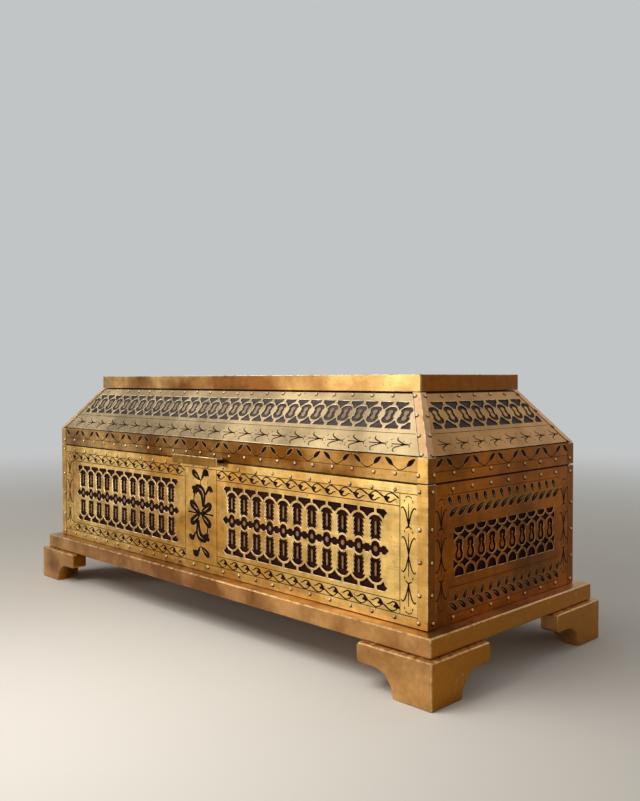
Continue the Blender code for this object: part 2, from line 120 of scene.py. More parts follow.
# Pins; a wall has their number in a row, and how far rows and corner columns pass its sheet
PIN_RADIUS = 0.98
PIN_HEIGHT = 0.85
PIN_SKIRT = 0.3
PIN_STEPS = 10
PIN_DRIFT = 0.3
# Share of cream on each pin's crown: a painted highlight
PIN_CROWN_HIGHLIGHT = 0.8
PIN_CROWN = 0.55
PIN_UNDERSIDE = -0.5
PIN_INSET = 3.5
PIN_COLUMN_DROP = 2.6
FRONT_PINS = (24, 1.2, 1.8)
END_PINS = (9, 2.7, 3.6)
STRIP_PROUD = 0.2
# Dark wax ring under each pin: grime, dropped below the pin as a painted shadow
PIN_GRIME_SHADOW_RADIUS = 1.2
PIN_SHADOW_DROP = 0.3
PIN_GRIME_SHADOW_THICK = 0.1
RIM_PIN_LEVEL = 4.1
SLOPE_PIN_DOWN = 2.4
HIP_PINS_DOWN = (15.0, 27.5)
HIP_PIN_FOOT = 0.6
HIP_PIN_OUT = 1.6

# Rubbed edges of the CAD parts, in metres
WELD = 0.002 * MM
MITRE_WELD = 0.3 * MM
FLAT_ANGLE = math.radians(1.0)
CREASE_ANGLE = math.radians(30.0)
# Faces towards an end take painted shade; upward ledges take a painted highlight
END_FACING = 0.6
LEDGE_FACING = 0.9
INWARD_SLACK = 0.1 * MM
DOWNWARD = -0.3
PLINTH_EDGE = 0.8 * MM
FOOT_EDGE = 0.7 * MM
STRIP_EDGE = 0.3 * MM
LIP_EDGE = 0.35 * MM

# Photograph's camera, in metres, radians and pixels
CAMERA_PLACE = Vector((0.4505, -0.4035, 0.1624))
CAMERA_YAW = 0.7947
CAMERA_PITCH = -0.0269
CAMERA_ROLL = -0.0028
FOCAL_PIXELS = 838.6
PHOTO_WIDTH = 640
SENSOR = 36.0
CLIP_NEAR = 0.01

# Studio, in metres
BACKDROP = "c2c5c5"
FLOOR_HALF = 6.0
FLOOR_NEAR = 0.35
FLOOR_FAR = 1.4

SIDES = ("front", "right", "back", "left")
CORNERS = ("front_left", "front_right", "back_left", "back_right")

Plane = namedtuple("Plane", "frame low high height thick")
LidRows = namedtuple("LidRows", "fret_pitch sprig_pitch sprig_size swag_pitch swag_count"
                     " top_pins rim_pins rim_reach")

# Rows along the lid's long sides and ends; top pins have a number, a pitch and a shift
LONG_ROWS = LidRows(fret_pitch=11.2, sprig_pitch=15.9, sprig_size=1.0, swag_pitch=22.9, swag_count=17,
                    top_pins=(21, 15.1, -3.6), rim_pins=25, rim_reach=0.8)
END_ROWS = LidRows(fret_pitch=12.9, sprig_pitch=15.6, sprig_size=0.85, swag_pitch=23.4, swag_count=6,
                   top_pins=(5, 15.6, 0.0), rim_pins=9, rim_reach=1.9)


# Outlines: lists of (u, v), with a third value where the corner is sharp

def mirrored(points):
    return [(-u, v, *sharp) for u, v, *sharp in reversed(points)]


def moved(points, u=0.0, v=0.0, degrees=0.0, size=1.0, flip=1):
    """Outline turned, sized and shifted; a flip of -1 turns it upside down first."""
    cosine = size * math.cos(math.radians(degrees))
    sine = size * math.sin(math.radians(degrees))
    result = []
    for x, y, *sharp in points:
        y *= flip
        result.append((u + cosine * x - sine * y, v + sine * x + cosine * y, *sharp))
    return result


def row(count, pitch, centre=0.0):
    return [centre + (index - (count - 1) / 2) * pitch for index in range(count)]


def stroke(path, widths):
    """Outline of an engraved line that swells and thins along its path."""
    left = []
    right = []
    last = len(path) - 1
    for index, ((u, v), width) in enumerate(zip(path, widths)):
        run = Vector(path[min(index + 1, last)]) - Vector(path[max(index - 1, 0)])
        across = run.orthogonal().normalized() * width / 2
        corner = (SHARP,) if index in (0, last) else ()
        left.append((u + across.x, v + across.y, *corner))
        if width:
            right.append((u - across.x, v - across.y, *corner))
    return left + right[::-1]


# Meshes from outlines

def plate_mesh(loops, thick, chamfer=0.0, grown=0.0):
    """Flat plate about z = 0 from closed outlines: its rim, then its holes."""
    curve = bpy.data.curves.new("outline", "CURVE")
    curve.dimensions = "2D"
    curve.fill_mode = "BOTH"
    curve.resolution_u = CURVE_STEPS
    curve.extrude = (thick / 2 - chamfer) * MM
    curve.bevel_depth = chamfer * MM
    curve.bevel_resolution = 0
    curve.offset = (grown - chamfer) * MM
    for points in loops:
        spline = curve.splines.new("BEZIER")
        spline.bezier_points.add(len(points) - 1)
        spline.use_cyclic_u = True
        for knot, (u, v, *sharp) in zip(spline.bezier_points, points):
            knot.co = (u * MM, v * MM, 0.0)
            knot.handle_left_type = knot.handle_right_type = "VECTOR" if sharp else "AUTO"
    holder = bpy.data.objects.new("outline", curve)
    mesh = bpy.data.meshes.new_from_object(holder)
    bpy.data.objects.remove(holder)
    bpy.data.curves.remove(curve)
    return joined([(mesh, Matrix())])


def joined(copies):
    """One mesh from copies of meshes, each at its own place."""
    bm = bmesh.new()
    for mesh, place in copies:
        copy = mesh.copy()
        copy.transform(place)
        bm.from_mesh(copy)
        bpy.data.meshes.remove(copy)
    bmesh.ops.remove_doubles(bm, verts=bm.verts, dist=WELD)
    bmesh.ops.recalc_face_normals(bm, faces=bm.faces)
    return mesh_of(bm)


def mesh_of(bm):
    mesh = bpy.data.meshes.new("piece")
    bm.to_mesh(mesh)
    bm.free()
    return mesh


# Bright rubbed metal: wear on edges and burrs, and painted highlights on pin crowns, foot ledges and the
# lip's ends
def mark_wear_and_highlight(mesh, values):
    mesh.attributes.new("wear_and_highlight", "FLOAT", "FACE").data.foreach_set("value", values)


def stamp(*shapes, burr=0.0):
    """Engraved figure of shapes, each a list of its rim and its holes; a burr edges it brightly."""
    wax = joined([(plate_mesh(loops, ENGRAVING_DEPTH), Matrix()) for loops in shapes])
    mark_wear_and_highlight(wax, [0.0] * len(wax.polygons))
    if not burr:
        return wax
    edges = [plate_mesh(loops[:1], ENGRAVING_DEPTH, grown=BURR_WIDTH) for loops in shapes]
    cut = joined([(edge, raised(-BURR_SUNK)) for edge in edges])
    mark_wear_and_highlight(cut, [burr] * len(cut.polygons))
    return joined([(wax, Matrix()), (cut, Matrix())])


def spot(u, v, degrees=0.0, size=1.0, flip=1):
    """Place of a stamp on a sheet."""
    turn = Matrix.Rotation(math.radians(degrees), 4, "Z")
    sized = Matrix.Diagonal((size, size * flip, 1.0, 1.0))
    return Matrix.Translation((u * MM, v * MM, 0.0)) @ turn @ sized


def raised(height):
    return Matrix.Translation((0.0, 0.0, height * MM))


def plane_of(node):
    """Outer face of a CAD sheet: its frame, half widths at foot and head, height, thickness."""
    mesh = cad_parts[node].data
    outwards = max(mesh.polygons, key=lambda face: face.area).normal.copy()
    middle = sum(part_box(node), Vector())
    if outwards.x * middle.x + outwards.y * middle.y < 0.0:
        outwards.negate()
    along = Vector((0.0, 0.0, 1.0)).cross(outwards).normalized()
    up = outwards.cross(along)
    points = [(v.co.dot(along), v.co.dot(up), v.co.dot(outwards)) for v in mesh.vertices]
    foot = min(v for _, v, _ in points)
    head = max(v for _, v, _ in points)
    face = max(w for _, _, w in points)
    low = max(u for u, v, _ in points if v - foot < WELD)
    high = max(u for u, v, _ in points if head - v < WELD)
    back = min(w for _, _, w in points)
    place = Matrix((along, up, outwards)).transposed().to_4x4()
    place.translation = up * foot + outwards * face
    return Plane(place, low / MM, high / MM, (head - foot) / MM, (face - back) / MM)


def half_width(plane, level):
    return plane.low + (plane.high - plane.low) * level / plane.height


def piece(name, mesh, finish, body, slot, *replaced):
    """Finished piece that rides on a body and stands for the CAD nodes it replaces."""
    mesh.name = name
    mesh.materials.clear()
    mesh.materials.append(finish)
    obj = bpy.data.objects.new(name, mesh)
    bpy.context.scene.collection.objects.link(obj)
    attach(obj, body)
    if replaced:
        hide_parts(*replaced)


# Materials

# Painted shade mixed into faces that look towards an end of the casket
END_SHADE_BROWN = "8a4c05"
END_SHADE_BRONZE = "b4741c"
WAXED_SPECULAR = 0.05


def linear(colour):
    """Linear colour of an sRGB hex value."""
    channels = [int(colour[index:index + 2], 16) / 255 for index in (0, 2, 4)]
    return (*[c / 12.92 if c <= 0.04045 else ((c + 0.055) / 1.055) ** 2.4 for c in channels], 1.0)


def per_mm(size):
    """Noise scale, on coordinates in metres, whose features are that many millimetres wide."""
    return 1.0 / (size * MM)


def wire(tree, node, inputs):
    """Inputs of a node, each a value, a socket or a node whose first output is linked."""
    for key, value in inputs.items():
        if isinstance(value, bpy.types.Node):
            value = next(socket for socket in value.outputs if socket.enabled)
        if isinstance(value, bpy.types.NodeSocket):
            tree.links.new(value, node.inputs[key])
        else:
            node.inputs[key].default_value = value


def add(tree, kind, inputs, **settings):
    """New node with its settings and inputs."""
    node = tree.nodes.new(kind)
    for key, value in settings.items():
        setattr(node, key, value)
    wire(tree, node, inputs)
    return node


def new_material(name):
    """Material, its tree, its shader and the place on the piece that patterns read."""
    material = bpy.data.materials.new(name)
    material.use_nodes = True
    tree = material.node_tree
    place = add(tree, "ShaderNodeTexCoord", {}).outputs["Object"]
    return material, tree, tree.nodes["Principled BSDF"], place


def tarnish_with_middle_shade(tree, place, patches, share, middle, reach):
    """Patches of tarnish, with a share of painted shade added about one place along the casket, fading out
    at its reach.
    """
    along = add(tree, "ShaderNodeSeparateXYZ", {"Vector": place})
    away = add(tree, "ShaderNodeMath", {0: along.outputs["X"], 1: middle}, operation="SUBTRACT")
    apart = add(tree, "ShaderNodeMath", {0: away}, operation="ABSOLUTE")
    painted_middle_shade = add(tree, "ShaderNodeMapRange", {"Value": apart, "From Min": reach, "From Max": 0.0,
                                               "To Max": share})
    return add(tree, "ShaderNodeMath", {0: patches, 1: painted_middle_shade}, operation="ADD", use_clamp=True)


def brass(name, clean, tarnished, rough, grain, bright_edge="fdecc8", shade_about_middle=(0.0, 0.0, 0.2)):
    """Sheet brass, rubbed along its length: mirror-like only in patches, with brown tarnish in
    clouds, painted shade on flanges that face an end and, where given, about one place along the casket,
    scratches along the grain, drawn wide enough to show, dark specks, and bright, scattering metal
    on worn edges and as painted highlights on pin crowns and the lip's ends.  The shade about the middle
    gives the share, middle and reach, in metres, of that painted shade."""
    material, tree, shader, place = new_material(name)
    clouds = add(tree, "ShaderNodeTexNoise", {"Vector": place, "Scale": per_mm(38), "Detail": 5.0})
    patches = add(tree, "ShaderNodeMapRange", {"Value": clouds, "From Min": 0.36, "From Max": 0.72})
    tarnish_and_shade = tarnish_with_middle_shade(tree, place, patches, *shade_about_middle)
    mottle = add(tree, "ShaderNodeTexNoise", {"Vector": place, "Scale": per_mm(5), "Detail": 4.0})
    spread = [per_mm(0.7), per_mm(0.7), per_mm(0.7)]
    spread["xy".index(grain)] = per_mm(28)
    stretched = add(tree, "ShaderNodeMapping", {"Vector": place, "Scale": spread})
    scratches = add(tree, "ShaderNodeTexNoise", {"Vector": stretched, "Scale": 1.0, "Detail": 3.0})
    specks = add(tree, "ShaderNodeTexNoise", {"Vector": place, "Scale": per_mm(2.2), "Detail": 1.0})
    speck_mask = add(tree, "ShaderNodeMapRange", {"Value": specks, "From Min": 0.71, "From Max": 0.77,
                                                  "To Max": 0.7})
    wear_and_highlight = add(tree, "ShaderNodeAttribute", {}, attribute_name="wear_and_highlight").outputs["Fac"]
    rubbed = add(tree, "ShaderNodeMapRange", {"Value": mottle, "From Min": 0.3, "From Max": 0.55})
    bright = add(tree, "ShaderNodeMath", {0: wear_and_highlight, 1: rubbed}, operation="MULTIPLY")
    base = add(tree, "ShaderNodeMix", {"Factor": tarnish_and_shade, "A": linear(clean), "B": linear(tarnished)},
               data_type="RGBA")
    shade = add(tree, "ShaderNodeMapRange", {"Value": mottle, "From Min": 0.3, "From Max": 0.7,
                                             "To Min": 0.78, "To Max": 1.12})
    end_shade = add(tree, "ShaderNodeAttribute", {}, attribute_name="end_shade").outputs["Fac"]
    end_shaded_colour = add(tree, "ShaderNodeMix", {"Factor": end_shade, "A": base, "B": linear(END_SHADE_BROWN)},
               data_type="RGBA")
    toned = add(tree, "ShaderNodeVectorMath", {0: end_shaded_colour, "Scale": shade}, operation="SCALE")
    lined = add(tree, "ShaderNodeMapRange", {"Value": scratches, "From Min": 0.35, "From Max": 0.65,
                                             "To Min": 0.92, "To Max": 1.06})
    combed = add(tree, "ShaderNodeVectorMath", {0: toned, "Scale": lined}, operation="SCALE")
    specked = add(tree, "ShaderNodeMix", {"Factor": speck_mask, "A": combed, "B": linear("4a2f16")},
                  data_type="RGBA")
    finished = add(tree, "ShaderNodeMix", {"Factor": bright, "A": specked, "B": linear(bright_edge)},
                   data_type="RGBA")
    haze = add(tree, "ShaderNodeMapRange", {"Value": mottle, "From Min": 0.3, "From Max": 0.7,
                                            "To Min": rough - 0.05, "To Max": rough + 0.07})
    drag = add(tree, "ShaderNodeMath", {0: scratches, 1: 0.16, 2: haze}, operation="MULTIPLY_ADD")
    gloss = add(tree, "ShaderNodeMath", {0: bright, 1: -0.12, 2: drag}, operation="MULTIPLY_ADD")
    sheen = add(tree, "ShaderNodeMath", {0: bright, 1: -0.65, 2: 1.0}, operation="MULTIPLY_ADD")
    waves = add(tree, "ShaderNodeTexNoise", {"Vector": place, "Scale": per_mm(24), "Detail": 2.0})
    ripple = add(tree, "ShaderNodeBump", {"Height": waves, "Strength": 1.0, "Distance": 0.8 * MM})
    relief = add(tree, "ShaderNodeBump", {"Height": scratches, "Strength": 0.35, "Distance": 0.03 * MM,
                                          "Normal": ripple})
    wire(tree, shader, {"Base Color": finished, "Roughness": gloss, "Normal": relief, "Metallic": sheen})
    return material


def bronze_paint(name):
    """Bronze-painted wood of plinth and feet: a satin film, half metal flake, with cloudy gold,
    painted shade about the middle and on faces towards an end, pale nicks, and bright rubbed metal
    along the edges, with a painted highlight on the ledges."""
    material, tree, shader, place = new_material(name)
    clouds = add(tree, "ShaderNodeTexNoise", {"Vector": place, "Scale": per_mm(30), "Detail": 5.0})
    patches = add(tree, "ShaderNodeMapRange", {"Value": clouds, "From Min": 0.37, "From Max": 0.7,
                                               "To Max": 0.8})
    mottle = add(tree, "ShaderNodeTexNoise", {"Vector": place, "Scale": per_mm(3), "Detail": 5.0})
    tarnish_and_shade = tarnish_with_middle_shade(tree, place, patches, share=0.75, middle=-0.03, reach=0.2)
    base = add(tree, "ShaderNodeMix", {"Factor": tarnish_and_shade, "A": linear("deaa6a"), "B": linear("845428")},
               data_type="RGBA")
    shade = add(tree, "ShaderNodeMapRange", {"Value": mottle, "From Min": 0.3, "From Max": 0.7,
                                             "To Min": 0.86, "To Max": 1.08})
    end_shade = add(tree, "ShaderNodeAttribute", {}, attribute_name="end_shade").outputs["Fac"]
    end_shaded_colour = add(tree, "ShaderNodeMix", {"Factor": end_shade, "A": base, "B": linear(END_SHADE_BRONZE)},
               data_type="RGBA")
    toned = add(tree, "ShaderNodeVectorMath", {0: end_shaded_colour, "Scale": shade}, operation="SCALE")
    flecks = add(tree, "ShaderNodeTexNoise", {"Vector": place, "Scale": per_mm(4), "Detail": 3.0})
    fleck_mask = add(tree, "ShaderNodeMapRange", {"Value": flecks, "From Min": 0.7, "From Max": 0.76,
                                                  "To Max": 0.6})
    nicked = add(tree, "ShaderNodeMix", {"Factor": fleck_mask, "A": toned, "B": linear("e7cda0")},
                 data_type="RGBA")
    wear_and_highlight = add(tree, "ShaderNodeAttribute", {}, attribute_name="wear_and_highlight").outputs["Fac"]
    rubbed = add(tree, "ShaderNodeMapRange", {"Value": mottle, "From Min": 0.35, "From Max": 0.65,
                                              "To Max": 0.8})
    bright = add(tree, "ShaderNodeMath", {0: wear_and_highlight, 1: rubbed}, operation="MULTIPLY")
    sheen = add(tree, "ShaderNodeMath", {0: bright, 1: -0.7, 2: 0.95}, operation="MULTIPLY_ADD")
    finished = add(tree, "ShaderNodeMix", {"Factor": bright, "A": nicked, "B": linear("e3c08a")},
                   data_type="RGBA")
    haze = add(tree, "ShaderNodeMapRange", {"Value": mottle, "From Min": 0.3, "From Max": 0.7,
                                            "To Min": 0.3, "To Max": 0.42})
    relief = add(tree, "ShaderNodeBump", {"Height": mottle, "Strength": 0.2, "Distance": 0.08 * MM})
    wire(tree, shader, {"Base Color": finished, "Roughness": haze, "Normal": relief, "Metallic": sheen})
    return material


def ebonised_wood(name, ground, streaks):
    """Stained and waxed wood under the brass: nearly black, with lighter grain along the boards."""
    material, tree, shader, place = new_material(name)
    spread = [per_mm(40), per_mm(2.5), per_mm(2.5)]
    stretched = add(tree, "ShaderNodeMapping", {"Vector": place, "Scale": spread})
    grain = add(tree, "ShaderNodeTexNoise", {"Vector": stretched, "Scale": 1.0, "Detail": 5.0,
                                             "Distortion": 0.6})
    streak = add(tree, "ShaderNodeMapRange", {"Value": grain, "From Min": 0.35, "From Max": 0.7})
    base = add(tree, "ShaderNodeMix", {"Factor": streak, "A": linear(ground), "B": linear(streaks)},
               data_type="RGBA")
    haze = add(tree, "ShaderNodeMapRange", {"Value": grain, "To Min": 0.42, "To Max": 0.62})
    relief = add(tree, "ShaderNodeBump", {"Height": grain, "Strength": 0.3, "Distance": 0.1 * MM})
    wire(tree, shader, {"Base Color": base, "Roughness": haze, "Normal": relief,
                        "Specular IOR Level": WAXED_SPECULAR})
    return material


def engraver_wax(name, deep, thin):
    """Dark wax rubbed into the engraving: dull, worn thin in spots, with the bright brass of the
    graver's cut along its edges."""
    material, tree, shader, place = new_material(name)
    mottle = add(tree, "ShaderNodeTexNoise", {"Vector": place, "Scale": per_mm(1.5), "Detail": 3.0})
    spots = add(tree, "ShaderNodeMapRange", {"Value": mottle, "From Min": 0.5, "From Max": 0.75})
    base = add(tree, "ShaderNodeMix", {"Factor": spots, "A": linear(deep), "B": linear(thin)},
               data_type="RGBA")
    haze = add(tree, "ShaderNodeMapRange", {"Value": mottle, "To Min": 0.55, "To Max": 0.75})
    cut = add(tree, "ShaderNodeAttribute", {}, attribute_name="wear_and_highlight").outputs["Fac"]
    edged = add(tree, "ShaderNodeMix", {"Factor": cut, "A": base, "B": linear("f0d090")},
                data_type="RGBA")
    gloss = add(tree, "ShaderNodeMath", {0: cut, 1: -0.3, 2: haze}, operation="MULTIPLY_ADD")
    wire(tree, shader, {"Base Color": edged, "Roughness": gloss, "Metallic": cut,
                        "Specular IOR Level": WAXED_SPECULAR})
    return material


def shows_backdrop(tree):
    """One for rays of the camera, of reflections and through glass, which meet the pale backdrop."""
    path = add(tree, "ShaderNodeLightPath", {})
    bounced = add(tree, "ShaderNodeMath", {0: path.outputs["Is Glossy Ray"],
                                           1: path.outputs["Is Transmission Ray"]}, operation="MAXIMUM")
    return add(tree, "ShaderNodeMath", {0: path.outputs["Is Camera Ray"], 1: bounced}, operation="MAXIMUM")


def floor_paint(name):
    """Pale matt studio floor, faintly clouded, that fades into the backdrop away from the casket."""
    material, tree, shader, place = new_material(name)
    clouds = add(tree, "ShaderNodeTexNoise", {"Vector": place, "Scale": per_mm(300), "Detail": 2.0})
    base = add(tree, "ShaderNodeMix", {"Factor": clouds, "A": linear("dedbd4"), "B": linear("d5d2cb")},
               data_type="RGBA")
    wire(tree, shader, {"Base Color": base, "Roughness": 0.9})
    away = add(tree, "ShaderNodeVectorMath", {0: place}, operation="LENGTH")
    fade = add(tree, "ShaderNodeMapRange", {"Value": away, "From Min": FLOOR_NEAR, "From Max": FLOOR_FAR},
               interpolation_type="SMOOTHSTEP")
    share = add(tree, "ShaderNodeMath", {0: fade, 1: shows_backdrop(tree)}, operation="MULTIPLY")
    haze = add(tree, "ShaderNodeEmission", {"Color": linear(BACKDROP)})
    mixed = add(tree, "ShaderNodeMixShader", {0: share, 1: shader, 2: haze})
    wire(tree, tree.nodes["Material Output"], {"Surface": mixed})
    return material


# Each brass by name, clean and tarnished colour, roughness and way of its grain
# Gold, pale, edging and rim brass are darker about one place along the casket: painted shade
GOLD = brass("rubbed_gold_brass", "f2ce80", "b6843a", 0.28, "x", shade_about_middle=(0.66, -0.01, 0.15))
# Brass of the ends, a darker, browner copy of the front's: painted shade
END_SHADE_BRASS = brass("shaded_end_brass", "ae6006", "6a3804", 0.26, "y", "d8ac70")
PALE = brass("pale_brass", "e2c798", "9a8462", 0.32, "x", shade_about_middle=(0.68, -0.02, 0.19))
# Brass of the lid's end slopes, a darker copy of the pale brass: painted shade
PALE_END_SHADE = brass("pale_brass_shaded_end", "b4844a", "8a5e2a", 0.34, "y", "e0bc84")
STRIPS = brass("strip_brass", "e2b264", "b4823a", 0.27, "x")
EDGING = brass("slab_edging_brass", "c49e60", "764a20", 0.28, "x", shade_about_middle=(0.8, -0.01, 0.12))
RIM = brass("rim_brass", "c49a58", "6a3e0a", 0.26, "x", shade_about_middle=(0.75, 0.04, 0.16))
LIP = brass("lift_lip_brass", "90682a", "604014", 0.26, "x", "f4dcaa")
HIPS = brass("hip_strip_brass", "e0b888", "bc9060", 0.3, "y")
HINGE = brass("hinge_brass", "b48a48", "82602e", 0.36, "x")
# The pale edge colour of the pin brass is the painted highlight on each pin's crown
PIN_BRASS = brass("polished_pin_brass", "e6c48e", "c0965c", 0.08, "x")
# Pins of the ends, a darker copy of the pin brass: painted shade
END_SHADE_PIN_BRASS = brass("shaded_end_pin_brass", "c49a5c", "8e6830", 0.12, "y", "e8c890")
INLAY_BRASS = brass("tarnished_inlay_brass", "a48260", "745a40", 0.4, "x", "bc9a70")
PALE_INLAY = brass("pale_inlay_brass", "ae967a", "86705a", 0.4, "x")
BRONZE = bronze_paint("bronze_painted_wood")
EBONY = ebonised_wood("ebonised_wood", "1c0803", "341206")
# Greyed black ground under the slopes' holes: painted reflection of the sky
REFLECTION_GREY_GROUND = ebonised_wood("black_ground_reflection_grey", "3a3432", "544c4a")
WAX = engraver_wax("black_wax", "180602", "3e1c0a")
# Wax of the ends, a lighter, browner copy of the black wax: painted light
END_LIT_WAX = engraver_wax("lit_end_wax", "2a1204", "4e2a0a")


# Fretwork: holes and the brass left inside them

def arcade_column():
    """Column under its arch, above the roundel, its sides barbed like a feather."""
    right = [(1.9, 5.0), (3.4, 4.2, SHARP)]
    for barb in range(COLUMN_BARBS):
        tip = 6.0 + barb * BARB_RISE
        right += [(2.9, tip, SHARP), (4.3, tip - 0.4, SHARP)]
    right += [(3.1, 15.2, SHARP), (5.0, 14.8, SHARP), (4.0, 16.4), (2.4, 17.6)]
    return [(0.0, 5.4), *right, (0.0, 18.1), *mirrored(right)]


def arcade_spandrel(last):
    """Dark corner above the arches, right of one strut; the last one ends in a blunt arrow."""
    rise = [(1.1, 21.7, SHARP), (0.8, 20.6), (0.9, 19.3, SHARP), (3.1, 18.7), (4.8, 17.5)]
    if last:
        return [*rise, (5.8, 16.6, SHARP), (6.7, 18.6), (8.5, 19.8, SHARP), (6.4, 21.7, SHARP)]
    return [*rise, (ARCADE_PITCH / 2, 16.2, SHARP), *moved(mirrored(rise), u=ARCADE_PITCH)]


def arcade_chain(count):
    """Roundels on a knobbed bar, one hole from end to end of a panel."""
    roundel = [(-3.1, 1.4, SHARP), (-2.6, 3.0), (0.0, 4.2), (2.6, 3.0), (3.1, 1.4, SHARP)]
    knob = [(-1.8, 1.4, SHARP), (-1.6, 2.3, SHARP), (1.6, 2.3, SHARP), (1.8, 1.4, SHARP)]
    finial = [(4.3, 1.4, SHARP), (4.8, 2.4, SHARP), (7.2, 2.3, SHARP), (8.0, 1.1, SHARP),
              (9.2, 0.3, SHARP)]
    centres = row(count, ARCADE_PITCH)
    top = moved(mirrored(finial), u=centres[0])
    for centre in centres:
        top += moved(roundel, u=centre)
        if centre != centres[-1]:
            top += moved(knob, u=centre + ARCADE_PITCH / 2)
    top += moved(finial, u=centres[-1])
    return top + [(u, -v, *sharp) for u, v, *sharp in reversed(top)]


def arcade_panels(plane):
    """Middle and number of arches of the two panels, either side of the flower."""
    inner = FLOWER_HALF + ARCADE_MARGIN
    outer = plane.low - SPRIG_BORDER - ARCADE_MARGIN
    count = int((outer - inner) / ARCADE_PITCH)
    return [(side * (inner + outer) / 2 + ARCADE_SHIFT, count) for side in (-1, 1)]


def arcade_holes(plane):
    middle = plane.height / 2
    holes = []
    for centre, count in arcade_panels(plane):
        holes.append(moved(arcade_chain(count), centre, middle))
        units = row(count, ARCADE_PITCH, centre)
        for flip in (1, -1):
            for u in units:
                holes.append(moved(arcade_column(), u, middle, flip=flip))
                holes.append(moved(arcade_spandrel(u == units[-1]), u, middle, flip=flip))
            holes.append(moved(mirrored(arcade_spandrel(True)), units[0], middle, flip=flip))
    return holes


def arcade_inlay(plane):
    """Dots in the roundels and wavy slivers in the columns."""
    dot = [(0.0, -1.6), (1.4, 0.0), (0.0, 1.6), (-1.4, 0.0)]
    edge = [(0.5, 7.4, SHARP), (0.85, 8.9), (0.55, 10.5), (0.85, 12.0), (0.6, 13.4), (0.75, 14.6, SHARP)]
    sliver = edge + mirrored(edge)
    middle = plane.height / 2
    shapes = []
    for centre, count in arcade_panels(plane):
        for u in row(count, ARCADE_PITCH, centre):
            shapes.append(moved(dot, u, middle))
            shapes += [moved(sliver, u, middle, flip=flip) for flip in (1, -1)]
    return shapes


def keyhole_units(plane):
    count = int(2 * (plane.low - SPRIG_BORDER - KEYHOLE_MARGIN) / KEYHOLE_PITCH)
    return row(count, KEYHOLE_PITCH)


def keyhole_holes(plane):
    """Fret of an end: half rounds above and below, stars, and ovals with a saw-toothed keyhole."""
    right = [(2.5, -4.2), (3.4, -1.9), (2.5, 0.7), (1.8, 1.9, SHARP), (3.1, 2.2, SHARP), (2.4, 3.1, SHARP),
             (3.3, 3.6, SHARP), (2.5, 4.5, SHARP), (3.0, 5.2, SHARP), (1.6, 6.2)]
    keyhole = [(0.0, -5.2), *right, (0.0, 6.5), *mirrored(right)]
    upper = [(4.1, 12.9, SHARP), (3.7, 11.3), (2.2, 10.1), (0.0, 9.7)]
    lower = [(4.1, -12.9, SHARP), (3.9, -10.7), (2.4, -8.7), (0.0, -8.0)]
    half_star = [(0.0, -2.7, SHARP), (1.6, -1.3), (4.5, 0.0, SHARP), (1.6, 1.3), (0.0, 2.7, SHARP)]
    star = half_star[:-1] + moved(half_star[:-1], degrees=180)
    middle = plane.height / 2
    units = keyhole_units(plane)
    holes = []
    for u in units:
        holes.append(moved(keyhole, u, middle))
        for half in (upper, lower):
            holes.append(moved(half + mirrored(half[:-1]), u, middle))
    for level in (8.2, -6.4):
        for u in units[1:]:
            holes.append(moved(star, u - KEYHOLE_PITCH / 2, middle + level))
        holes.append(moved(half_star, units[0] - KEYHOLE_PITCH / 2, middle + level))
        holes.append(moved(half_star, units[-1] + KEYHOLE_PITCH / 2, middle + level, 180))
    return holes


def keyhole_inlay(plane):
    right = [(1.4, -2.9), (1.6, -1.6), (0.6, 0.6), (0.5, 2.6), (0.9, 3.6)]
    drop = [(0.0, -3.7), *right, (0.0, 4.2), *mirrored(right)]
    return [moved(drop, u, plane.height / 2) for u in keyhole_units(plane)]


def waisted_units(plane, pitch):
    half = half_width(plane, plane.height - WAISTED_DOWN)
    return row(int(2 * (half - WAISTED_END_ROOM) / pitch) + 1, pitch)


def waisted_holes(plane, pitch):
    """Fret of a slope: rings with a saw-toothed waisted hole, dark corners above and below."""
    right = [(2.9, -4.7), (4.2, -2.8), (3.8, -1.4, SHARP), (2.9, -1.0, SHARP), (3.6, -0.2, SHARP),
             (2.9, 0.3, SHARP), (3.7, 1.0, SHARP), (3.0, 1.6, SHARP), (4.2, 2.8), (2.9, 4.7)]
    waisted = [(0.0, -5.4), *right, (0.0, 5.4), *mirrored(right)]
    wide = pitch / 2
    side = [(wide - 4.6, 4.3), (wide - 3.0, 5.9), (wide - 1.2, 6.9, SHARP), (wide - 0.9, 8.7, SHARP)]
    corner = [(0.0, 3.2, SHARP), *side, *mirrored(side)]
    stub = [(0.5, 4.4, SHARP), (2.0, 8.7, SHARP), *mirrored(side)]
    middle = plane.height - WAISTED_DOWN
    units = waisted_units(plane, pitch)
    holes = [moved(stub, units[-1] + pitch / 2, middle, flip=-1)]
    holes.append(moved(mirrored(stub), units[0] - pitch / 2, middle, flip=-1))
    for u in units:
        holes.append(moved(waisted, u, middle))
        if u != units[-1]:
            holes += [moved(corner, u + pitch / 2, middle, flip=flip) for flip in (1, -1)]
    return holes


def waisted_inlay(plane, pitch):
    right = [(1.3, -2.9), (1.75, -1.9), (1.1, 0.0), (1.75, 1.9), (1.3, 2.9)]
    peanut = [(0.0, -3.4), *right, (0.0, 3.4), *mirrored(right)]
    return [moved(peanut, u, plane.height - WAISTED_DOWN) for u in waisted_units(plane, pitch)]


def sheet_rim(plane):
    rim = [(-plane.low, 0.0, SHARP), (plane.low, 0.0, SHARP)]
    return rim + [(plane.high, plane.height, SHARP), (-plane.high, plane.height, SHARP)]


def sky_reflection_ground(node):
    """Film of black paint on the wood that shows through a slope's holes, greyed as a painted reflection
    of the sky.
    """
    plane = plane_of(node)
    mesh = plate_mesh([sheet_rim(plane)], GROUND_THICK)
    mesh.transform(plane.frame @ raised(-plane.thick + GROUND_THICK / 2))
    piece(f"ground_{node}", mesh, REFLECTION_GREY_GROUND, "lid", "ebonised_wood")


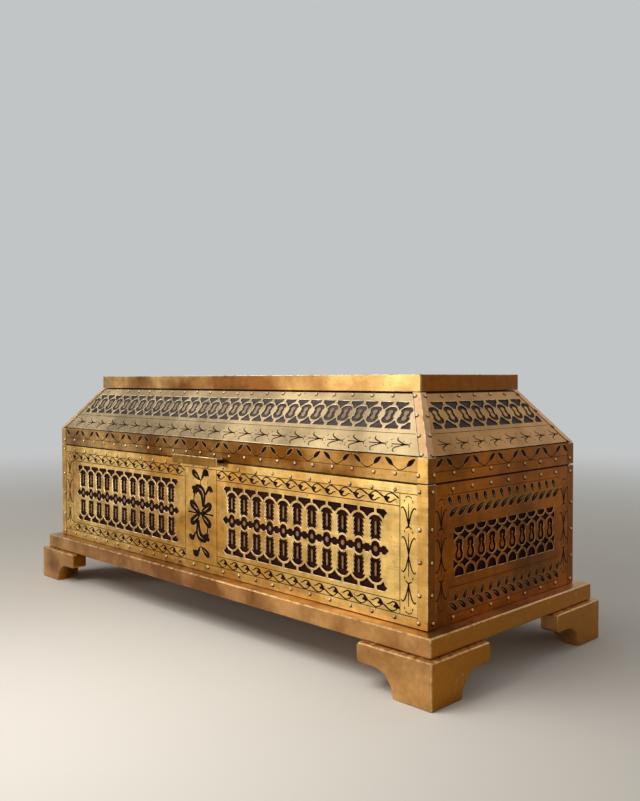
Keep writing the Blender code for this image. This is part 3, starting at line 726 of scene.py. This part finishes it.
def pierced_sheet(node, holes, inlay, body, finish, inlay_finish, slot):
    """Sheet with its holes, whose upper rims are worn bright, and the brass set inside them."""
    plane = plane_of(node)
    mesh = plate_mesh([sheet_rim(plane), *holes], plane.thick, HOLE_CHAMFER)
    least, most = CHAMFER_FACING
    mark_wear_and_highlight(mesh, [HOLE_WEAR * (least < abs(face.normal.z) < most) for face in mesh.polygons])
    mesh.transform(plane.frame @ raised(-plane.thick / 2))
    piece(f"pierced_{node}", mesh, finish, body, slot, node)
    sunk = plane.frame @ raised(-INLAY_SUNK - INLAY_THICK / 2)
    copies = [(plate_mesh([shape], INLAY_THICK, HOLE_CHAMFER), sunk) for shape in inlay]
    piece(f"inlay_{node}", joined(copies), inlay_finish, body, slot)


# Engraving: figures drawn about their own middle

def vine_stamp():
    """Wave of a running vine: a leaf, the stem that arches to the next leaf, and a tendril."""
    leaf = [(-2.9, 1.0, SHARP), (-1.4, 0.9), (-0.3, 1.4, SHARP), (0.6, 0.8), (1.9, 0.8), (2.1, 0.0),
            (1.2, -0.7), (0.9, -1.7), (-0.1, -2.0), (-1.4, -0.9)]
    stem = [(-0.5, 0.9), (0.7, 2.0), (1.9, 2.55), (3.3, 2.75), (5.0, 2.4), (6.7, 1.5), (8.4, 0.5)]
    tendril = [(-0.6, -1.3), (0.8, -2.0), (1.9, -2.15), (3.1, -1.8), (4.4, -1.0), (5.4, -0.5), (6.7, -0.5)]
    return stamp([leaf], [stroke(stem, [0.7, 0.65, 0.65, 0.7, 0.8, 0.95, 0.9])],
                 [stroke(tendril, [0.9, 0.9, 0.75, 0.75, 0.7, 0.65, 0.4])])


def lily_shapes():
    """Lily that opens upwards from its joint at (0, 0): spear and arms, then two short legs."""
    spear = stroke([(0.0, -0.8), (0.0, 4.0), (0.0, 11.6)], [0.5, 0.75, 0.4])
    arm = stroke([(0.15, 0.0), (0.8, 3.2), (1.6, 6.0), (2.8, 8.4), (4.1, 9.3), (5.0, 8.4)],
                 [0.5, 0.85, 0.9, 0.85, 0.75, 0.5])
    leg = stroke([(0.1, 0.6), (0.7, -0.7), (1.8, -1.5)], [0.5, 0.65, 0.4])
    return [[spear], [arm], [mirrored(arm)], [leg], [mirrored(leg)]]


def arrow_shapes():
    """Lily of the slopes, wider, its arms curled outwards at their ends, with two thin legs."""
    spear = stroke([(0.0, -4.8), (0.0, -3.6), (0.0, -1.4), (0.0, 1.6), (0.0, 7.0)],
                   [0.3, 0.85, 0.8, 0.6, 0.55])
    upper = stroke([(0.1, -3.2), (0.35, -1.6), (0.95, 0.4), (1.75, 2.4), (2.5, 3.7), (3.4, 4.3),
                    (4.4, 4.0)], [0.3, 0.6, 0.7, 0.75, 0.75, 0.65, 0.35])
    lower = stroke([(0.1, -3.2), (0.35, -1.6), (0.9, 0.4), (1.6, 2.5), (2.3, 4.0), (3.3, 4.6),
                    (4.2, 4.2), (4.7, 3.1)], [0.3, 0.6, 0.7, 0.75, 0.75, 0.7, 0.6, 0.35])
    leg = stroke([(0.1, -4.5), (0.6, -5.2), (1.5, -5.9)], [0.3, 0.45, 0.3])
    return [[spear], [upper], [mirrored(lower)], [leg], [mirrored(leg)]]


def gap_dashes():
    """Two short dashes ahead of a lily of the slopes."""
    dash = stroke([(2.4, -7.3), (3.1, -8.4)], [0.45, 0.35])
    return [[dash], [mirrored(dash)]]


def dash_arc():
    """Arch of short dashes."""
    dash = [(-0.7, -0.28, SHARP), (0.7, -0.28, SHARP), (0.7, 0.28, SHARP), (-0.7, 0.28, SHARP)]
    half, rise = 2.8, 3.2
    shapes = []
    for degrees in (12, 57, 90, 123, 168):
        angle = math.radians(degrees)
        shapes.append([moved(dash, half * math.cos(angle), rise * math.sin(angle), degrees + 90)])
    return shapes


def laurel_stamp(length, width):
    """Drop-shaped leaf, its point to the right, with the bare brass of a thin vein."""
    half = length / 2
    upper = [(-0.95 * half, 0.15 * width), (-0.6 * half, 0.46 * width), (0.2 * half, 0.44 * width)]
    leaf = [(half, 0.0, SHARP), *[(u, -v) for u, v in reversed(upper)], *upper]
    vein = stroke([(-0.3 * half, 0.0), (0.3 * half, 0.02 * width), (0.75 * half, 0.0)], [0.0, 0.3, 0.0])
    return stamp([leaf, vein], burr=LEAF_BURR)


def swag_shapes(pitch):
    """Right bud under a peak, and the garland that hangs from it to the next peak."""
    bud = [(1.0, 0.1, SHARP), (3.5, -0.2), (6.1, -1.9), (7.1, -4.4, SHARP), (4.6, -3.8), (2.5, -2.1)]
    swag = stroke([(6.9, -4.2), (pitch / 2, -6.2), (pitch - 6.9, -4.2)], [0.45, 0.5, 0.45])
    return [bud], [swag]


def flower_stamp():
    """Four petals and two bars about the middle, and a scroll of leaves above, turned for below."""
    heart = [(1.0, 0.0), (0.0, 1.0), (-1.0, 0.0), (0.0, -1.0)]
    petal = [(0.3, 0.0, SHARP), (1.8, 1.1), (4.6, 2.2), (8.6, 3.0), (12.6, 2.3), (13.9, 0.0), (12.6, -2.3),
             (8.6, -3.0), (4.6, -2.2), (1.8, -1.1)]
    vein = [(3.0, 0.0, SHARP), (6.4, 0.18), (10.6, 0.0, SHARP), (6.4, -0.18)]
    bar = stroke([(1.5, 0.0), (8.0, 0.1), (14.0, 0.0)], [1.0, 1.25, 1.5])
    acanthus = [(1.3, 4.4, SHARP), (4.4, 4.7, SHARP), (5.1, 8.6), (5.4, 12.3), (4.5, 15.9), (1.7, 18.5),
                (-2.2, 19.3), (-5.4, 18.8), (-6.5, 17.7, SHARP), (-8.5, 17.9), (-10.0, 16.0),
                (-8.5, 14.8, SHARP), (-9.0, 13.3), (-7.0, 12.3), (-5.9, 13.1, SHARP), (-4.5, 12.1),
                (-3.7, 13.5), (-2.5, 13.8, SHARP), (-0.5, 12.0), (0.5, 9.5), (1.0, 6.4)]
    fold = stroke([(-2.6, 16.8), (0.8, 15.7), (2.7, 13.2), (3.0, 9.4)], [0.0, 0.45, 0.45, 0.0])
    tendril = stroke([(-6.4, 12.8), (-7.5, 10.4), (-7.3, 7.4)], [1.2, 1.5, 0.9])
    sprig = [(4.4, 12.0, SHARP), (6.4, 16.2), (8.4, 18.9), (10.8, 19.0), (13.0, 17.4), (13.4, 14.4, SHARP),
             (11.7, 15.1), (10.9, 13.8, SHARP), (9.8, 15.4), (8.5, 15.1), (6.9, 13.2)]
    stem = stroke([(0.2, 18.6), (-0.2, 20.8), (-0.1, 23.0)], [0.9, 0.7, 0.6])
    bud = [(0.1, 21.4, SHARP), (1.5, 25.9), (3.4, 29.2), (5.8, 29.8), (8.7, 28.0), (9.1, 24.5, SHARP),
           (7.0, 25.3), (6.0, 23.7, SHARP), (4.8, 25.1), (3.4, 24.2), (1.9, 22.6)]
    shapes = [[heart]]
    for degrees in (31, 149, 215, 325):
        shapes.append([moved(petal, degrees=degrees), moved(vein, degrees=degrees)])
    for degrees in (0, 180):
        shapes.append([moved(bar, degrees=degrees)])
        shapes.append([moved(acanthus, degrees=degrees), moved(fold, degrees=degrees)])
        shapes += [[moved(figure, degrees=degrees)] for figure in (tendril, sprig, stem, bud)]
        side_bud = [moved(loop, v=22.0, degrees=148, size=0.8) for loop in (petal, vein)]
        shapes.append([moved(loop, degrees=degrees) for loop in side_bud])
    return stamp(*shapes, burr=FLOWER_BURR)


def sprig_border(u, middle, size):
    """Upright border of lilies and dashes, the same above and below its middle."""
    marks = []
    for flip in (1, -1):
        for level, figure, share in ((0.2, BARE_LILY, BARE_LILY_SIZE), (15.0, LILY, 1.0),
                                     (11.2, DASHES, 1.0), (27.0, DASHES, 1.0)):
            marks.append((figure, spot(u, middle + flip * level * size, size=share * size, flip=flip)))
    return marks


def lines(*ends, width=LINE_WIDTH):
    return [(stamp([stroke([points[:2], points[2:]], [width, width])]), Matrix()) for points in ends]


def seam(plane):
    """Painted shade along the upper edge of a wall, under the lid."""
    level = plane.height - SEAM_SHADE / 2
    return lines((-plane.low, level, plane.low, level), width=SEAM_SHADE)


def front_marks(plane):
    """Lines, vine bands, sprig borders and the middle flower of the front."""
    top = plane.height - BAND_OUTER
    border = plane.low - SPRIG_BORDER
    marks = lines((-plane.low, BAND_OUTER, plane.low, BAND_OUTER), (-plane.low, top, plane.low, top))
    marks += seam(plane)
    marks.append((FLOWER, spot(0.0, plane.height / 2 + FLOWER_RISE)))
    for side in (-1, 1):
        panel = sorted((side * FLOWER_HALF, side * border))
        for level in (BAND_INNER, plane.height - BAND_INNER):
            marks += lines((panel[0], level, panel[1], level))
        for u in panel:
            marks += lines((u, BAND_OUTER, u, top))
        band = (BAND_OUTER + BAND_INNER) / 2
        for u in row(VINE_COUNT, VINE_PITCH):
            marks.append((VINE, spot(sum(panel) / 2 + u - VINE_SHIFT, plane.height - band)))
            marks.append((VINE, spot(sum(panel) / 2 - u + VINE_SHIFT, band, 180)))
        marks += sprig_border(side * (border + SPRIG_BORDER / 2), plane.height / 2, 1.0)
    return marks


def end_marks(plane):
    """Two laurel bands, two sprig borders and three faint lines of an end."""
    leaves = ((SMALL_LEAF, -2.2, 26.9, -62), (BIG_LEAF, 0.7, 21.5, 31),
              (SMALL_LEAF, 3.0, -22.9, 62), (BIG_LEAF, 0.1, -27.9, 145))
    middle = plane.height / 2
    border = plane.low - SPRIG_BORDER / 2 + END_BORDER_SHIFT
    marks = seam(plane)
    for u in row(LAUREL_COUNT, LAUREL_PITCH):
        for leaf, along, level, degrees in leaves:
            marks.append((leaf, spot(u + along, middle + level, degrees)))
    for side in (-1, 1):
        marks += sprig_border(side * border, middle, END_SPRIG_SIZE)
    half = border - SPRIG_BORDER / 2
    for level in (END_LINE_FOOT, middle - END_LINE_DOWN, plane.height - END_LINE_HEAD):
        marks += lines((-half, level, half, level), width=FAINT_WIDTH)
    return marks


def rim_marks(plane, pitch, count):
    """Swags from peak to peak along the lid's rim, with a single bud before each corner strip."""
    bud, swag = swag_shapes(pitch)
    bud = stamp(bud, burr=LEAF_BURR)
    swag = stamp(swag)
    peaks = row(count, pitch)
    marks = [(swag, spot(u, SWAG_TOP)) for u in peaks[:-1]]
    for u in peaks:
        if u + BUD_REACH < plane.low:
            marks.append((bud, spot(u, SWAG_TOP)))
        if u - BUD_REACH > -plane.low:
            marks.append((bud, spot(u, SWAG_TOP, 180, flip=-1)))
    return marks + lines((-plane.low, SWAG_LINE, plane.low, SWAG_LINE), width=FAINT_WIDTH)


def slope_marks(plane, pitch, size):
    """Row of lilies that lie along a slope, below an engraved line, and painted shade under the slab."""
    level = plane.height - SPRIG_DOWN
    places = row(int((2 * half_width(plane, level) - SPRIG_LENGTH) / pitch) + 1, pitch, SPRIG_SHIFT)
    marks = [(ARROW, spot(u, level, 90, size)) for u in places]
    marks += [(GAP_DASHES, spot(u, level, 90, size)) for u in places[:-1]]
    # Dark band under the slab: painted shadow of the gap there
    gap_level = plane.height - SLAB_SHADE / 2
    marks += lines((-plane.high, gap_level, plane.high, gap_level), width=SLAB_SHADE)
    line_level = plane.height - SLOPE_LINE_DOWN
    reach = half_width(plane, line_level) - SLOPE_LINE_SHORT
    return marks + lines((-reach, line_level, reach, line_level), width=FAINT_WIDTH)


def engrave(node, marks, body, wax=WAX):
    """Engraving of one sheet, filled with dark wax a hair above the brass."""
    face = plane_of(node).frame @ raised(ENGRAVING_PROUD - ENGRAVING_DEPTH / 2)
    mesh = joined([(mark, face @ place) for mark, place in marks])
    piece(f"engraving_{node}", mesh, wax, body, "ebonised_wood")


# Pins

def pin_mesh():
    """Round-headed pin: a low dome whose skirt sinks into the sheet, its crown lit as a painted highlight.
    """
    bm = bmesh.new()
    profile = [(PIN_RADIUS, -PIN_SKIRT)]
    for degrees in (0, 30, 60, 90):
        angle = math.radians(degrees)
        profile.append((PIN_RADIUS * math.cos(angle), PIN_HEIGHT * math.sin(angle)))
    points = [bm.verts.new((u * MM, 0.0, w * MM)) for u, w in profile]
    edges = [bm.edges.new(pair) for pair in zip(points, points[1:])]
    bmesh.ops.spin(bm, geom=points + edges, cent=(0.0, 0.0, 0.0), axis=(0.0, 0.0, 1.0),
                   angle=2 * math.pi, steps=PIN_STEPS, use_merge=True)
    bmesh.ops.remove_doubles(bm, verts=bm.verts, dist=WELD)
    bmesh.ops.holes_fill(bm, edges=[edge for edge in bm.edges if edge.is_boundary])
    bmesh.ops.recalc_face_normals(bm, faces=bm.faces)
    for face in bm.faces:
        face.smooth = face.normal.z > PIN_UNDERSIDE
    mesh = mesh_of(bm)
    # Crown of the pin lightened: a painted highlight
    mark_wear_and_highlight(mesh, [PIN_CROWN_HIGHLIGHT * (face.normal.z > PIN_CROWN) for face in mesh.polygons])
    return mesh


def set_pins(node, places, body, finish=PIN_BRASS):
    """Pins of one sheet, each a little off its mark as set by hand."""
    plane = plane_of(node)
    drift = random.Random(node)
    pins = []
    grime_shadows = []
    for u, v in places:
        on_strip = abs(u) > half_width(plane, v)
        u += drift.uniform(-PIN_DRIFT, PIN_DRIFT)
        v += drift.uniform(-PIN_DRIFT, PIN_DRIFT)
        face = plane.frame @ raised(STRIP_PROUD * on_strip)
        pins.append((PIN, face @ spot(u, v, drift.uniform(0.0, 360 / PIN_STEPS))))
        # Dark ring under the pin: grime, shifted down as a painted shadow
        grime_shadows.append((PIN_GRIME_SHADOW, face @ spot(u, v - PIN_SHADOW_DROP)))
    piece(f"pins_{node}", joined(pins), finish, body, "aged_brass")
    piece(f"pin_grime_shadow_{node}", joined(grime_shadows), WAX, body, "ebonised_wood")


def spread_row(plane, count, reach):
    """Pins from corner to corner of a sheet, whose row passes it by its reach."""
    return row(count, 2 * (plane.low + reach) / (count - 1))


def wall_pins(plane, count, reach, column):
    """Rows along the top and bottom of a wall and three pins up each corner strip."""
    levels = (PIN_INSET, plane.height - PIN_INSET)
    places = [(u, v) for u in spread_row(plane, count, reach) for v in levels]
    rise = plane.height / 2 - PIN_INSET
    middle = plane.height / 2 - PIN_COLUMN_DROP
    for side in (-1, 1):
        places += [(side * (plane.low + column), middle + step * rise / 2) for step in (-1, 0, 1)]
    return places


def slope_pins(plane, top_pins):
    """Row under the slab, and pins down the hip strips beside the sheet."""
    places = [(u, plane.height - SLOPE_PIN_DOWN) for u in top_pins]
    for down in (SLOPE_PIN_DOWN, *HIP_PINS_DOWN, plane.height - HIP_PIN_FOOT):
        level = plane.height - down
        edge = half_width(plane, level) + HIP_PIN_OUT
        places += [(side * edge, level) for side in (-1, 1)]
    return places


# CAD parts with rubbed edges

def outward(normal, middle):
    return min(normal.x * middle.x, normal.y * middle.y) > -INWARD_SLACK


def rubbed(name, nodes, width, finish, body, slot, ledge_highlight=0.0, inner=True, ends="end_shade"):
    """CAD nodes as one piece, welded where they meet at a mitre.  Edges, all of them or only the outer
    ones, are rounded and rubbed bright, ledges take a painted highlight by their share, and faces
    towards an end take painted shade, or on the lip a painted highlight."""
    bm = bmesh.new()
    for node in nodes:
        bm.from_mesh(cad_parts[node].data)
    bmesh.ops.remove_doubles(bm, verts=bm.verts, dist=WELD)
    bmesh.ops.dissolve_limit(bm, angle_limit=FLAT_ANGLE, verts=bm.verts, edges=bm.edges)
    bmesh.ops.remove_doubles(bm, verts=bm.verts, dist=MITRE_WELD if len(nodes) > 1 else WELD)
    inside = [face for face in bm.faces if all(len(edge.link_faces) > 2 for edge in face.edges)]
    bmesh.ops.delete(bm, geom=inside, context="FACES_ONLY")
    for edge in bm.edges:
        if FLAT_ANGLE < edge.calc_face_angle(0.0) < CREASE_ANGLE:
            for face in edge.link_faces:
                face.smooth = True
    bm.faces.layers.float.new("end_shade")
    wear_and_highlight = bm.faces.layers.float.new("wear_and_highlight")
    end_layer = bm.faces.layers.float[ends]
    bm.normal_update()
    corners = []
    for edge in bm.edges:
        if edge.calc_face_angle(0.0) > CREASE_ANGLE:
            facing = sum((face.normal for face in edge.link_faces), Vector())
            if inner or outward(facing, sum((vert.co for vert in edge.verts), Vector()) / 2):
                corners.append(edge)
    rounded = bmesh.ops.bevel(bm, geom=corners, offset=width, offset_type="OFFSET", segments=2,
                              profile=0.5, affect="EDGES", clamp_overlap=True, material=-1)
    bm.normal_update()
    for face in bm.faces:
        # Upward ledges, and on the lip the faces towards its ends, take a painted highlight; other faces
        # towards an end take painted shade
        face[wear_and_highlight] = ledge_highlight * (face.normal.z > LEDGE_FACING)
        face[end_layer] = max(face[wear_and_highlight], (abs(face.normal.x) - END_FACING) / (1.0 - END_FACING), 0.0)
    for face in rounded["faces"]:
        middle = face.calc_center_median()
        face.smooth = True
        if outward(face.normal, middle) and face.normal.z > DOWNWARD:
            face[wear_and_highlight] = 1.0
    piece(name, mesh_of(bm), finish, body, slot, *nodes)


def dress_rigid_parts():
    """Plinth, feet, strips, slab and lip as rubbed copies, and finishes for what stays CAD."""
    rubbed("rubbed_plinth", ["plinth_board"], PLINTH_EDGE, BRONZE, "body", "bronzed_wood")
    for corner in CORNERS:
        # Feet, with a painted highlight on their upward ledges
        rubbed(f"rubbed_foot_{corner}", [f"foot_{corner}_long", f"foot_{corner}_end"], FOOT_EDGE, BRONZE,
               "body", "bronzed_wood", ledge_highlight=1.0)
        rubbed(f"rubbed_corner_{corner}", [f"corner_angle_{corner}"], STRIP_EDGE, STRIPS, "body",
               "aged_brass", inner=False)
        rubbed(f"rubbed_lid_corner_{corner}", [f"lid_corner_angle_{corner}"], STRIP_EDGE, STRIPS, "lid",
               "pale_brass", inner=False)
        rubbed(f"rubbed_hip_{corner}", [f"lid_hip_strip_{corner}"], STRIP_EDGE, HIPS, "lid",
               "pale_brass", inner=False)
    for side in SIDES:
        # The end edgings take the ends' brass, darkened as painted shade
        finish = EDGING if side in ("front", "back") else END_SHADE_BRASS
        rubbed(f"rubbed_edging_{side}", [f"lid_edging_{side}"], STRIP_EDGE, finish, "lid", "pale_brass")
    rubbed("rubbed_top", ["lid_top_sheet"], STRIP_EDGE / 2, GOLD, "lid", "pale_brass")
    # Lip, with a painted highlight on the faces towards its ends
    rubbed("rubbed_lip", ["lid_lift"], LIP_EDGE, LIP, "lid", "aged_brass", ends="wear_and_highlight")
    for name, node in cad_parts.items():
        finish = EBONY
        if name.startswith("hinge"):
            finish = HINGE
        # The end rim bands take the ends' brass, darkened as painted shade
        elif name in ("lid_rim_band_left", "lid_rim_band_right"):
            finish = END_SHADE_BRASS
        elif name in ("lid_rim_band_front", "lid_rim_band_back"):
            finish = RIM
        elif name == "back_sheet":
            finish = GOLD
        node.data.materials.clear()
        node.data.materials.append(finish)


def dress_body():
    """Sheets of the walls: the front and the ends, browner as painted shade, pierced, the back engraved
    alone.
    """
    front = plane_of("front_sheet")
    pierced_sheet("front_sheet", arcade_holes(front), arcade_inlay(front), "body", GOLD, INLAY_BRASS,
                  "aged_brass")
    engrave("front_sheet", front_marks(front), "body")
    back = plane_of("back_sheet")
    blackened = [(stamp([hole]), Matrix()) for hole in arcade_holes(back)]
    engrave("back_sheet", front_marks(back) + blackened, "body")
    for node in ("front_sheet", "back_sheet"):
        set_pins(node, wall_pins(front, *FRONT_PINS), "body")
    for node in ("right_sheet", "left_sheet"):
        end = plane_of(node)
        pierced_sheet(node, keyhole_holes(end), keyhole_inlay(end), "body", END_SHADE_BRASS, END_SHADE_BRASS, "aged_brass")
        engrave(node, end_marks(end), "body", END_LIT_WAX)
        set_pins(node, wall_pins(end, *END_PINS), "body", END_SHADE_PIN_BRASS)


def dress_lid():
    """Sloping sheets and rim bands, pale on the long sides and browner on the ends as painted shade."""
    for side in SIDES:
        long = side in ("front", "back")
        rows = LONG_ROWS if long else END_ROWS
        sheet, inlay = (PALE, PALE_INLAY) if long else (PALE_END_SHADE, PALE_END_SHADE)
        wax, pins = (WAX, PIN_BRASS) if long else (END_LIT_WAX, END_SHADE_PIN_BRASS)
        node = f"lid_slope_sheet_{side}"
        slope = plane_of(node)
        pierced_sheet(node, waisted_holes(slope, rows.fret_pitch), waisted_inlay(slope, rows.fret_pitch),
                      "lid", sheet, inlay, "pale_brass")
        sky_reflection_ground(node)
        engrave(node, slope_marks(slope, rows.sprig_pitch, rows.sprig_size), "lid", wax)
        set_pins(node, slope_pins(slope, row(*rows.top_pins)), "lid", pins)
        node = f"lid_rim_band_{side}"
        rim = plane_of(node)
        engrave(node, rim_marks(rim, rows.swag_pitch, rows.swag_count), "lid", wax)
        along = spread_row(rim, rows.rim_pins, rows.rim_reach)
        set_pins(node, [(u, RIM_PIN_LEVEL) for u in along], "lid", pins)


# Studio

def soft_light(name, place, target, size, power, colour):
    """Lamp of a width and height that faces its target and that the camera doesn't see."""
    data = bpy.data.lights.new(name, "AREA")
    data.shape = "RECTANGLE"
    data.size, data.size_y = size
    data.energy = power
    data.color = linear(colour)[:3]
    lamp = bpy.data.objects.new(name, data)
    lamp.location = place
    lamp.rotation_euler = (Vector(target) - Vector(place)).to_track_quat("-Z", "Y").to_euler()
    lamp.visible_camera = False
    bpy.context.scene.collection.objects.link(lamp)
    return lamp


def studio():
    """Pale floor under a pale sky, a window-like light from the left, soft ones above, at the upper
    left and behind, and a small one that brightens the floor before the casket unmirrored."""
    bm = bmesh.new()
    bmesh.ops.create_grid(bm, x_segments=1, y_segments=1, size=FLOOR_HALF)
    floor = bpy.data.objects.new("floor", mesh_of(bm))
    floor.data.materials.append(floor_paint("pale_floor"))
    bpy.context.scene.collection.objects.link(floor)
    world = bpy.data.worlds.new("studio")
    world.use_nodes = True
    tree = world.node_tree
    sky = tree.nodes["Background"]
    wire(tree, sky, {"Color": linear("c9c6c1"), "Strength": 0.4})
    backdrop = add(tree, "ShaderNodeBackground", {"Color": linear(BACKDROP), "Strength": 1.0})
    mixed = add(tree, "ShaderNodeMixShader", {0: shows_backdrop(tree), 1: sky, 2: backdrop})
    wire(tree, tree.nodes["World Output"], {"Surface": mixed})
    bpy.context.scene.world = world
    soft_light("window", (-0.97, -1.31, 0.34), (0.05, 0.0, 0.15), size=(0.45, 0.6), power=6.5,
               colour="fff8f0")
    pool = soft_light("front_pool", (0.07, -0.27, 0.3), (0.06, -0.18, 0.0), size=(0.2, 0.2), power=0.92,
                      colour="fffaf4")
    pool.visible_glossy = False
    soft_light("overhead", (-0.2, -0.4, 1.6), (0.0, 0.0, 0.12), size=(1.4, 1.4), power=3.0,
               colour="fffaf2")
    soft_light("left_top", (-0.89, -0.42, 1.05), (0.1, -0.05, 0.13), size=(0.4, 0.4), power=1.7,
               colour="fffaf2")
    soft_light("back_fill", (0.45, 1.5, 0.9), (0.1, 0.0, 0.12), size=(1.0, 0.8), power=2.0,
               colour="f4f8ff")


def photo_camera():
    """Camera of the photograph, from its place, turn and focal length in pixels."""
    forward = Vector((-math.sin(CAMERA_YAW) * math.cos(CAMERA_PITCH),
                      math.cos(CAMERA_YAW) * math.cos(CAMERA_PITCH), math.sin(CAMERA_PITCH)))
    right = Vector((math.cos(CAMERA_YAW), math.sin(CAMERA_YAW), 0.0))
    right.rotate(Matrix.Rotation(-CAMERA_ROLL, 3, forward))
    up = right.cross(forward)
    data = bpy.data.cameras.new("photo_camera")
    data.sensor_fit = "HORIZONTAL"
    data.sensor_width = SENSOR
    data.lens = FOCAL_PIXELS * SENSOR / PHOTO_WIDTH
    data.clip_start = CLIP_NEAR
    camera = bpy.data.objects.new("photo_camera", data)
    camera.matrix_world = Matrix((right, up, -forward)).transposed().to_4x4()
    camera.location = CAMERA_PLACE
    bpy.context.scene.collection.objects.link(camera)
    bpy.context.scene.camera = camera


PIN = pin_mesh()
# Dark ring under a pin: grime and painted shadow
PIN_GRIME_SHADOW = plate_mesh([[(PIN_GRIME_SHADOW_RADIUS, 0.0), (0.0, PIN_GRIME_SHADOW_RADIUS), (-PIN_GRIME_SHADOW_RADIUS, 0.0),
                     (0.0, -PIN_GRIME_SHADOW_RADIUS)]], PIN_GRIME_SHADOW_THICK)
VINE = vine_stamp()
LILY = stamp(*lily_shapes())
BARE_LILY = stamp(*lily_shapes()[:3])
ARROW = stamp(*arrow_shapes())
GAP_DASHES = stamp(*gap_dashes())
DASHES = stamp(*dash_arc())
SMALL_LEAF = laurel_stamp(length=6.1, width=2.8)
BIG_LEAF = laurel_stamp(length=9.1, width=3.0)
FLOWER = flower_stamp()

dress_rigid_parts()
dress_body()
dress_lid()
studio()
photo_camera()
bpy.context.scene.view_settings.view_transform = "Standard"
